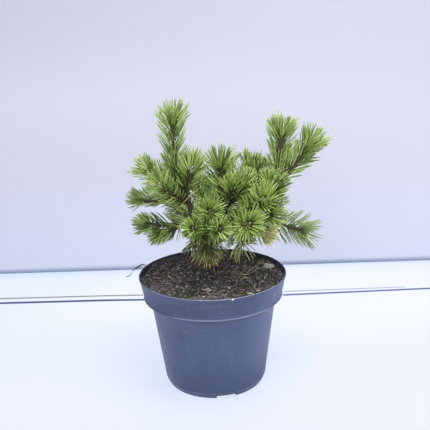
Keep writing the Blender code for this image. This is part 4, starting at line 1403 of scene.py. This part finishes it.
def soilFinish():
    finish = Finish("potting mix", (0.059, 0.053, 0.052), 0.95)
    finish.blend(finish.patches(34.0, 5.0, 0.46, 0.60), (0.02, 0.018, 0.02), 0.8)
    finish.blend(finish.patches(250.0, 4.0, 0.48, 0.60), (0.15, 0.135, 0.132), 0.75)
    finish.blend(finish.patches(640.0, 2.0, 0.60, 0.68), (0.3, 0.28, 0.27), 0.6)
    return finish.grained(700.0, 0.6, 0.0012, 0.9)


def makeSoil():
    steps, below = soil["steps"], innerProfile(soil["rimGap"])
    rings = [soilRing(soilRadius * ring / soil["rings"], steps) for ring in range(1, soil["rings"] + 1)]
    rings += ringsOf(below[-2:0:-1], steps)
    points, faces = lathe(onSoil(0.0, 0.0), rings, Vector((0, 0, below[0][1])))
    handIn(meshObject("soil_bed", points, faces, soilFinish()), "soil", "soil")


def chipShape(name, chance, length, width, thick):
    # a broken flake of bark: a squashed lump with a few flat breaks
    shape = bmesh.new()
    bmesh.ops.create_icosphere(shape, subdivisions=1, radius=0.5)
    for vert in shape.verts:
        vert.co *= 1.0 + chance.uniform(*litterShapes["breaks"])
        vert.co = Vector((vert.co.x * length, vert.co.y * width, vert.co.z * thick))
    mesh = bpy.data.meshes.new(name)
    shape.to_mesh(mesh)
    shape.free()
    return linked(name, mesh)


def shredShape(name, chance, length, width, curl):
    # a bent fibre or straw, thicker in the middle
    path, steps = [], litterShapes["shredSteps"]
    angle, place = -curl / 2, Vector()
    for step in range(steps):
        path.append(place.copy())
        angle += curl / steps
        wave = math.sin(math.pi * step / (steps - 1) + chance.uniform(*litterShapes["shredWobble"]))
        rise = litterShapes["shredRise"] * wave
        place += onCircle(1.0, angle, rise) * (length / steps)
    middle = sum(path, Vector()) / steps

    def radius(ring):
        return width / 2 * (0.35 + 0.65 * math.sin(math.pi * (ring + 0.5) / steps))

    points, faces = tube(path, 4, radius)
    return meshObject(name, [place - middle for place in points], faces)


def mossShape(name, chance):
    # a tuft of short blades
    shapes = []
    for blade in range(litterShapes["mossBlades"]):
        angle, lean = blade * goldenAngle, chance.uniform(*litterShapes["mossLean"])
        way = onCircle(lean, angle, 1.0).normalized()
        side = way.orthogonal().normalized() * litterShapes["mossRadius"]
        other = way.cross(side)
        tip = way * chance.uniform(*litterShapes["mossLength"])
        points = [side, -side * 0.5 + other, -side * 0.5 - other, tip]
        shapes.append((points, [(0, 1, 3), (1, 2, 3), (2, 0, 3), (2, 1, 0)]))
    return joined(name, shapes)


def makeScatterTree():
    # lays things from a collection over a surface at random, half sunk in it
    tree, given, made = newTree(
        "scatter litter", "GeometryNodeTree", ("Geometry", "Geometry"), Geometry="Geometry",
        Things="Collection", Density=20000.0, Spacing=0.003, Smallest=0.6, Largest=1.3, Tilt=0.5, Rise=0.0,
        Seed=1, Material="Material")
    seed, tilt = given["Seed"], given["Tilt"]
    points = wired(tree, "GeometryNodeDistributePointsOnFaces", distribute_method="POISSON",
                   Mesh=given["Geometry"], Distance_Min=given["Spacing"], Density_Max=given["Density"],
                   Seed=seed)
    back = wired(tree, "ShaderNodeMath", operation="MULTIPLY", In0=tilt, In1=-1.0)
    low = wired(tree, "ShaderNodeCombineXYZ", X=back, Y=back, Z=-math.pi)
    high = wired(tree, "ShaderNodeCombineXYZ", X=tilt, Y=tilt, Z=math.pi)
    turn = wired(tree, "FunctionNodeRandomValue", data_type="FLOAT_VECTOR", Min=low, Max=high, Seed=seed)
    size = wired(tree, "FunctionNodeRandomValue", data_type="FLOAT", Min=given["Smallest"],
                 Max=given["Largest"], Seed=seed)
    things = wired(tree, "GeometryNodeCollectionInfo", transform_space="ORIGINAL",
                   Collection=given["Things"], Separate_Children=True, Reset_Children=True)
    copies = wired(tree, "GeometryNodeInstanceOnPoints", Points=points, Instance=things, Pick_Instance=True,
                   Rotation=wired(tree, "FunctionNodeEulerToRotation", Euler=turn), Scale=size)
    real = wired(tree, "GeometryNodeRealizeInstances", Geometry=copies)
    moved = wired(tree, "GeometryNodeSetPosition", Geometry=real,
                  Offset=wired(tree, "ShaderNodeCombineXYZ", Z=given["Rise"]))
    tree.links.new(wired(tree, "GeometryNodeSetMaterial", Geometry=moved, Material=given["Material"]), made)
    return tree


def litterGround(radius, x=0.0, y=0.0, rings=30, steps=96):
    # the top of the soil alone, out to a radius, as the surface that litter lies on
    points = [onSoil(x, y)]
    for ring in range(1, rings + 1):
        points += soilRing(radius * ring / rings, steps, x, y)
    faces = [(0, 1 + turn, 1 + (turn + 1) % steps) for turn in range(steps)]
    for low in range(1, 1 + (rings - 1) * steps, steps):
        for turn in range(steps):
            after = (turn + 1) % steps
            faces.append((low + turn, low + steps + turn, low + steps + after, low + after))
    return meshObject("litter_ground", points, faces)


# Layers of litter: name, shapes and colour, then a value for each of these inputs
litterInputs = ("Density", "Spacing", "Smallest", "Largest", "Tilt", "Rise", "Seed")
litter = (
    ("chips_dark", "chips", (0.026, 0.022, 0.022), 30000.0, 0.003, 0.6, 1.4, 0.7, 0.0002, 3),
    ("chips_brown", "chips", (0.126, 0.108, 0.102), 30000.0, 0.0032, 0.35, 1.15, 0.6, 0.0005, 8),
    ("chips_pale", "chips", (0.275, 0.248, 0.238), 3200.0, 0.007, 0.45, 0.95, 0.5, 0.0009, 33),
    ("shreds", "shreds", (0.215, 0.19, 0.18), 12000.0, 0.0044, 0.55, 1.35, 0.35, 0.0011, 12),
    ("shreds_dark", "shreds", (0.058, 0.047, 0.044), 14000.0, 0.004, 0.6, 1.4, 0.4, 0.001, 19),
    ("shreds_pale", "shreds", (0.42, 0.38, 0.355), 5200.0, 0.006, 0.55, 1.15, 0.3, 0.0014, 44),
    ("clods", "chips", (0.07, 0.055, 0.05), 15000.0, 0.0052, 0.9, 1.7, 0.5, 0.0014, 61),
    ("fibres", "shreds", (0.4, 0.365, 0.34), 24000.0, 0.0034, 0.45, 1.0, 0.3, 0.0017, 62),
    ("grit", "grit", (0.5, 0.47, 0.44), 4200.0, 0.006, 0.45, 1.3, 0.9, 0.001, 27),
    ("moss_dark", "moss", (0.04, 0.06, 0.02), 260000.0, 0.0011, 0.6, 1.2, 0.4, 0.0002, 51),
    ("moss_bright", "moss", (0.074, 0.112, 0.036), 60000.0, 0.0015, 0.6, 1.3, 0.5, 0.0008, 52),
)

# Patches that some layers keep to: x, y and radius of each. The others lie everywhere.
litterPatches = {
    "clods": ((-0.062, 0.016, 0.032), (-0.026, -0.03, 0.024), (-0.062, -0.046, 0.02), (0.01, -0.004, 0.018)),
    "fibres": ((0.054, -0.016, 0.028), (0.064, 0.024, 0.02), (0.012, -0.07, 0.022)),
    "moss_dark": ((-0.046, -0.076, 0.013), (-0.034, -0.066, 0.01), (0.088, 0.006, 0.005)),
    "moss_bright": ((-0.044, -0.078, 0.012), (-0.036, -0.064, 0.008), (-0.086, -0.004, 0.006)),
}

litterColours = {
    "straw": (0.52, 0.43, 0.3), "tan": (0.33, 0.23, 0.17), "brown": (0.17, 0.105, 0.07),
    "rust": (0.29, 0.15, 0.085), "grey": (0.2, 0.18, 0.165), "pale": (0.56, 0.53, 0.49),
    "cream": (0.72, 0.66, 0.54), "sprout": (0.42, 0.45, 0.15), "olive": (0.17, 0.18, 0.06),
}

# Straws, sticks and dead needles: both ends and width in mm, how high the middle stands, colour
straws = (
    (-73, 8, -58, -18, 1.5, 2, "straw"), (51, -5, 73, 37, 1.5, 3.5, "straw"),
    (41, -8, 59, -2, 1.6, 2.2, "straw"), (43, -24, 59, -19, 1.4, 1.6, "straw"),
    (20, 7, 36, 4, 1.5, 1.4, "tan"), (29, -11, 41, -18, 3, 1.4, "tan"), (36, 13, 44, 36, 2.2, 2.5, "tan"),
    (-21, 10, -12, 41, 1.6, 4, "rust"), (-1, 40, -2, -4, 3.4, 1.4, "brown"), (2, 28, 4, 2, 2, 1.2, "tan"),
    (74, 48, 87, 55, 1.2, 5, "straw"), (86, 56, 98, 38, 1.2, 4.5, "straw"),
    (72, 44, 90, 50, 1.2, 2.5, "straw"), (80, 20, 96, 38, 1, 3.5, "grey"),
    (66, 12, 84, 28, 1.2, 2.5, "straw"), (48, 22, 70, 30, 1.2, 2, "grey"),
    (24, 60, 38, 64, 1.8, 2.5, "rust"), (40, 78, 52, 66, 2.2, 3, "brown"), (58, 80, 64, 62, 2, 3.5, "rust"),
    (30, 52, 46, 50, 1.4, 2, "rust"), (-93, -8, -80, 0, 1.4, 1.4, "olive"),
    (-90, 2, -78, -6, 1.3, 1.2, "olive"), (-12, -59, -5, -57, 1.8, 2.2, "cream"),
    (-9, -64, -2, -59, 1.6, 2, "cream"), (-16, -57, -12, -63, 1.5, 1.6, "pale"),
    (36, -27, 38, -42, 1.9, 1.6, "pale"), (49, -76, 60, -84, 2.6, 1.6, "cream"),
    (63, -66, 71, -70, 2.2, 1.4, "cream"), (10, -63, 18, -65, 2.4, 1.2, "tan"),
    (44, -34, 66, -30, 1.2, 1.8, "grey"), (52, -14, 84, -8, 1.1, 2.2, "grey"),
    (-60, 30, -46, 34, 1.3, 1.4, "straw"), (-8, 20, 8, 14, 1.6, 1.5, "brown"),
    (12, -20, 26, -34, 1.4, 1.4, "grey"), (-30, -90, -14, -92, 1.8, 1.4, "grey"),
    (12, -95, 26, -93, 2, 1.4, "grey"),
)

# Stones, bits and seedlings: place, length, width and height in mm, turn in degrees, colour
pebbles = (
    (92, 30, 19, 12, 7, 15, "pale"), (88, 33, 12, 8, 8, 40, "pale"), (90, 46, 3, 2, 5, 0, "sprout"),
    (-68, 37, 5, 3, 2.5, 20, "pale"), (-36, 35, 3, 2, 2, 0, "pale"), (-38, 13, 3, 3, 3, 0, "tan"),
    (-33, -2, 2, 3, 2.5, 10, "pale"), (-36, -22, 4, 3, 4, 0, "grey"), (-39, -42, 4, 2.5, 3, 30, "cream"),
    (-23, -19, 4, 2, 2.5, 20, "pale"), (-8, 2, 3, 2, 2.5, 0, "pale"), (-70, -55, 3, 3, 3, 0, "pale"),
    (-68, -67, 3, 2, 3, 60, "tan"), (-43, -63, 3, 2, 2.5, 0, "pale"), (-14, -83, 3, 3, 3, 0, "cream"),
    (-19, -96, 3, 2, 2.5, 0, "pale"), (80, -23, 2.2, 2, 7, 20, "sprout"),
    (82, -20, 2, 1.6, 5, 70, "sprout"), (90, -42, 6, 3, 3, 20, "olive"), (62, -52, 1.8, 2, 9, 10, "sprout"),
    (60, -53, 1.5, 2, 5, 60, "olive"), (18, -82, 3, 3, 3, 0, "cream"), (24, -55, 4, 2, 2.5, 0, "cream"),
    (85, -4, 3, 2, 2.5, 0, "pale"), (30, -84, 5, 4, 3, 40, "tan"), (2, -88, 5, 4, 3, 0, "tan"),
    (-54, -40, 6, 5, 3, 20, "tan"), (12, 8, 13, 10, 3, 0, "brown"), (46, 2, 5, 4, 3, 0, "tan"),
    (-76, 22, 8, 4, 3, 10, "tan"),
)

placedLook = {
    "seed": 97,
    "strawSteps": 8,
    "strawBow": (-0.08, 0.08),  # how far a straw bends sideways, of its length
    "strawAbove": 0.6,  # mm
    "strawRough": (-0.2, 0.2),  # mm
    "strawWidths": (0.85, 1.1),
    "pebbleRise": 0.00022,  # metres from the soil to its middle, for each mm of its height
    "pebbleLumps": ((0.34, 3.1), (0.12, 9.0)),  # how high, and how fine
}

# The dry leaf over the rim: places in mm along its middle, its half widths, and how far each side turns up
dryLeaf = {
    "depth": 40.0,
    "middle": ((-101, 171.5), (-106, 174.8), (-110.2, 177.6), (-113.5, 178.8), (-117.4, 177.6),
               (-121.1, 175.8), (-124.6, 173.6), (-127.4, 171.2), (-130, 168.6), (-132, 164.6),
               (-134.5, 161), (-138.5, 158.9), (-142, 158.6)),
    "widths": (0.5, 0.7, 0.8, 1.1, 2.6, 3.9, 3.6, 2.6, 1.7, 1.2, 1.2, 1.0, 0.4),
    "rings": 48,
    "across": (-1.0, -0.5, 0.0, 0.5, 1.0),
    "curl": 1.1,
    "twist": 0.16,  # radians from one ring to the next
    "skew": 0.25,
    "crease": (0.25, 0.35, 2.0),  # how deep, and how fine along it and across
    "thick": 0.45,
    "thinEdge": 0.6,  # share of its thickness that is gone at the edges
}


def litterFinish(name, colour):
    finish = Finish(name, colour, 0.88)
    finish.blend(finish.patches(260.0, 3.0, 0.44, 0.62), [value * 0.55 for value in colour], 0.8)
    return finish.grained(2200.0, 0.5, 0.0003, 0.6)


def strawShape(fromX, fromY, toX, toY, width, high, chance):
    # a fibre that lies on the soil, its middle a little higher
    steps, bow, path = placedLook["strawSteps"], chance.uniform(*placedLook["strawBow"]), []
    for step in range(steps + 1):
        share = step / steps
        arch = math.sin(math.pi * share)
        x = fromX + (toX - fromX) * share + (fromY - toY) * bow * arch
        y = fromY + (toY - fromY) * share + (toX - fromX) * bow * arch
        above = soilLevel(x / 1000, y / 1000) * 1000 + placedLook["strawAbove"] + high * arch
        path.append(Vector((x, y, above + chance.uniform(*placedLook["strawRough"]))) / 1000)

    def radius(ring):
        size = width / 2000 * (0.45 + 0.55 * math.sin(math.pi * (ring + 0.6) / (steps + 1.2)))
        return size * chance.uniform(*placedLook["strawWidths"])

    return tube(path, 6, radius)


def pebbleShape(x, y, length, width, height, turn, chance):
    shape = bmesh.new()
    bmesh.ops.create_icosphere(shape, subdivisions=3, radius=0.5)
    spin = Matrix.Rotation(math.radians(turn), 3, "Z")
    seed = chance.uniform(0, 90)
    base = Vector((x, y, 0.0)) / 1000
    base.z = soilLevel(base.x, base.y) + height * placedLook["pebbleRise"]
    (high, wide), (low, fine) = placedLook["pebbleLumps"]
    points = []
    for vert in shape.verts:
        lump = 1.0 + high * noise.noise(vert.co * wide + Vector((seed, 0, 0)))
        lump += low * noise.noise(vert.co * fine + Vector((0, seed, 0)))
        size = Vector((vert.co.x * length, vert.co.y * width, vert.co.z * height)) * lump / 1000
        points.append(base + spin @ size)
    faces = [tuple(vert.index for vert in face.verts) for face in shape.faces]
    shape.free()
    return points, faces


def makeDryLeaf():
    # a curled blade: five points across, doubled to give it a thickness
    rings, across, widths = dryLeaf["rings"], dryLeaf["across"], dryLeaf["widths"]
    deep, fineAlong, fineAcross = dryLeaf["crease"]
    path = smoothPath([Vector((x, dryLeaf["depth"], z)) for x, z in dryLeaf["middle"]], rings)
    points, shades = [], []
    for index, middle in enumerate(path):
        low, rest = shareOf(widths, index / rings)
        wide = widths[low] + (widths[low + 1] - widths[low]) * rest
        twist = 0.5 + 0.5 * math.sin(index * dryLeaf["twist"])
        for side in (1, -1):
            for step in across[::side]:
                bow = dryLeaf["curl"] * wide * step * step * (0.5 + 0.5 * twist)
                crease = noise.noise(Vector((index * fineAlong, step * fineAcross, 2.0))) * deep * wide
                lift = dryLeaf["thick"] / 2 * side * (1.0 - dryLeaf["thinEdge"] * abs(step))
                skew = dryLeaf["skew"] * wide * step * twist
                offset = Vector((skew, wide * step, lift - bow + crease))
                points.append((middle + offset) / 1000)
                shades.append(abs(step))
    # its rings run the other way round than a tube's, so every face is turned over
    *walls, foot, tip = tubeFaces(rings + 1, len(across) * 2)
    faces = [face[:1] + face[:0:-1] for face in walls] + [foot[::-1], tip[::-1]]
    finish = Finish("dry leaf", (0.23, 0.183, 0.166), 0.85)
    finish.blend(finish.attribute("shade"), (0.06, 0.046, 0.046), 0.9)
    finish.blend(finish.patches(300.0, 3.0, 0.46, 0.60), (0.11, 0.084, 0.078), 0.6)
    handIn(joined("dry_leaf", [(points, faces, shades)], finish.material, "shade"), "soil")


def makePlacedLitter():
    # what can be told apart in the soil, one piece for each colour
    chance = random.Random(placedLook["seed"])
    shapes = {colour: [] for colour in litterColours}
    for *row, colour in straws:
        shapes[colour].append(strawShape(*row, chance))
    for *row, colour in pebbles:
        shapes[colour].append(pebbleShape(*row, chance))
    for colour, group in shapes.items():
        material = litterFinish(f"{colour} litter", litterColours[colour])
        handIn(joined(f"litter_{colour}", group, material), "soil")


def makeLitter():
    chance = random.Random(litterShapes["seed"])
    (chips, *chipSizes), (shreds, *shredSizes) = litterShapes["chips"], litterShapes["shreds"]
    grains, *grainSize = litterShapes["grit"]
    shapes = {"chips": [], "shreds": []}
    for number in range(chips):
        size = [chance.uniform(*ends) for ends in chipSizes]
        shapes["chips"].append(chipShape(f"chip_{number}", chance, *size))
    for number in range(shreds):
        length, width, curl = [chance.uniform(*ends) for ends in shredSizes]
        curl *= chance.choice((-1, 1))
        shapes["shreds"].append(shredShape(f"shred_{number}", chance, length, width, curl))
    shapes["grit"] = [chipShape(f"grit_{number}", chance, *grainSize) for number in range(grains)]
    shapes["moss"] = [mossShape(f"moss_{number}", chance) for number in range(litterShapes["moss"])]
    groups = {name: shapeCollection(name, pieces) for name, pieces in shapes.items()}
    tree, faces = makeScatterTree(), 0
    for name, kind, colour, *numbers in litter:
        values = dict(zip(litterInputs, numbers))
        values["Things"] = groups[kind]
        values["Material"] = litterFinish(f"litter {name.replace('_', ' ')}", colour)
        grounds = {f"litter_{name}": (soilRadius - soil["litterGap"],)}
        if name in litterPatches:
            grounds = {f"litter_{name}_{number}": (radius, x, y, 5, 24)
                       for number, (x, y, radius) in enumerate(litterPatches[name], 1)}
        for pieceName, ground in grounds.items():
            piece = plainMesh(litterGround(*ground), tree, values, pieceName)
            faces += len(piece.data.polygons)
            handIn(piece, "soil")
    print("litter:", faces, "faces")


makeSoil()
makeLitter()
makePlacedLitter()
makeDryLeaf()


# Stage, lights and camera

stage = {
    "wallAt": (0.5115, 0.5015),  # its distance behind the pot at the two places that follow
    "wallEnds": (-0.35, 0.36),
    "wallHeight": 1.6,
    "reach": 3.0,
    "floorColour": (0.163, 0.100, 0.076),
    "floorBack": (0.215, 0.148, 0.080),  # lighter farther back, as painted light
    "floorShade": (0.020, 0.030, 0.030),  # next to the wall
    "floorGlow": (0.620, 0.735, 0.895, 1.0),
    "wallColour": (0.590, 0.586, 0.672),
    # the wall is darker higher up and at its upper right as painted shade, lighter near the floor as painted
    # light, and dark at its foot as a painted shadow
    "wallHigh": (0.480, 0.478, 0.550),
    "wallLow": (0.615, 0.634, 0.762),
    "wallFoot": (0.225, 0.262, 0.400),
    "wallCorner": (0.500, 0.500, 0.580),
    "sky": (0.93, 0.94, 1.0, 1.0),
    "skyStrength": 0.55,
    # strips that lie on the floor behind the pot: their corners in mm, and their colour
    "strips": (
        (((-2400, 378), (-232, 326), (-148, 320.5), (-148, 311.5), (-232, 316), (-2400, 368)),
         (0.045, 0.075, 0.190)),
        (((-2400, 404), (-232, 350), (-154, 346), (-154, 339), (-232, 343), (-2400, 396)),
         (0.260, 0.280, 0.230)),
        (((150, 318.5), (2400, 364), (2400, 356), (150, 310)), (0.110, 0.135, 0.300)),
        (((155, 336.5), (420, 336.5), (420, 331.5), (155, 331.5)), (0.320, 0.400, 0.560)),
    ),
}

# Lights: name, place, size, watts, colour, and what each points at
lights = (
    ("overhead", (0.25, -0.35, 1.75), 0.8, 22.0, (1.0, 1.0, 1.0), (0.0, 0.0, 0.25)),
    ("right fill", (1.70, -0.90, 1.00), 1.0, 9.0, (0.98, 0.99, 1.0), (0.0, 0.0, 0.20)),
    ("front fill", (-0.70, -1.90, 1.20), 1.2, 12.0, (1.0, 0.99, 0.98), (0.0, 0.0, 0.25)),
)

camera = {
    "place": (0.0, -0.887, 0.505),
    "turn": 0.0080,  # radians towards +X
    "pitch": 0.2612,  # radians down
    "roll": -0.0339,
    "lens": 50.23,  # mm, and the sensor's width too
    "sensor": 36.0,
    "near": 0.01,
}


def stagePiece(name, points, face, material):
    meshObject(name, points, [face], material, smooth=False)


def makeFloor():
    finish = Finish("floor", stage["floorColour"], 0.8, Emission_Color=stage["floorGlow"],
                    Emission_Strength=1.0)
    # painted light: the floor is lighter farther back, behind the pot
    finish.blend(finish.spot((0.15, 0.30, 0.0), (0.75, 0.27, 9.0), 0.35), stage["floorBack"])
    finish.blend(finish.spot((0.0, 0.58, 0.0), (9.0, 0.12, 9.0), 0.5), stage["floorShade"])
    corners = [Vector((x, y, 0)) * stage["reach"] for x, y in ((-1, -1), (1, -1), (1, 1), (-1, 1))]
    stagePiece("floor", corners, (0, 1, 2, 3), finish.material)
    for number, (corners, colour) in enumerate(stage["strips"], 1):
        points = [Vector((x, y, 0.4)) / 1000 for x, y in corners]
        material = Finish(f"table strip {number}", colour, 0.8).material
        stagePiece(f"table_strip_{number}", points, tuple(reversed(range(len(points)))), material)


def makeWall():
    finish = Finish("backdrop", stage["wallColour"], 0.9)
    # painted shade higher up and at the upper right, painted light near the floor and a painted shadow at
    # the wall's foot
    finish.blend(finish.heights(0.38, 0.64), stage["wallHigh"])
    finish.blend(finish.spot((0.60, 0.51, 0.70), (0.75, 2.0, 0.45), 0.2), stage["wallCorner"], 0.6)
    finish.blend(finish.heights(0.30, 0.08), stage["wallLow"])
    finish.blend(finish.heights(0.0155, 0.0), stage["wallFoot"])
    # seen from behind it is clear
    behind = finish.add("ShaderNodeNewGeometry", "Backfacing")
    mix = finish.add("ShaderNodeMixShader", In0=behind, In1=finish.shader.outputs["BSDF"],
                     In2=finish.add("ShaderNodeBsdfTransparent"))
    feed(finish.tree, finish.tree.nodes["Material Output"], Surface=mix)
    (left, right), (leftEnd, rightEnd) = stage["wallAt"], stage["wallEnds"]
    slope = (right - left) / (rightEnd - leftEnd)
    points = [(x, left + slope * (x - leftEnd), z) for x in (-stage["reach"], stage["reach"])
              for z in (0.0, stage["wallHeight"])]
    stagePiece("backdrop", points, (0, 2, 3, 1), finish.material)


def makeLights():
    for name, place, size, watts, colour, target in lights:
        data = bpy.data.lights.new(name, "AREA")
        data.shape, data.size, data.energy, data.color = "DISK", size, watts, colour
        lamp = linked(name, data)
        lamp.location = place
        lamp.rotation_euler = (Vector(target) - Vector(place)).to_track_quat("-Z", "Y").to_euler()
    world = bpy.data.worlds.new("soft daylight")
    world.use_nodes = True
    feed(world.node_tree, world.node_tree.nodes["Background"], Color=stage["sky"],
         Strength=stage["skyStrength"])
    bpy.context.scene.world = world
    bpy.context.scene.view_settings.view_transform = "Standard"


def makeCamera():
    data = bpy.data.cameras.new("camera")
    data.lens, data.sensor_width, data.clip_start = camera["lens"], camera["sensor"], camera["near"]
    turn, pitch, roll = camera["turn"], camera["pitch"], camera["roll"]
    ahead = Vector((math.sin(turn) * math.cos(pitch), math.cos(turn) * math.cos(pitch), -math.sin(pitch)))
    across = Vector((math.cos(turn), -math.sin(turn), 0.0))
    above = across.cross(ahead)
    right = across * math.cos(roll) + above * math.sin(roll)
    top = above * math.cos(roll) - across * math.sin(roll)
    eye = linked("camera", data)
    turned = Matrix((right, top, -ahead)).transposed().to_4x4()
    eye.matrix_world = Matrix.Translation(camera["place"]) @ turned
    bpy.context.scene.camera = eye


makeFloor()
makeWall()
makeLights()
makeCamera()
print("stage, lights and camera placed")
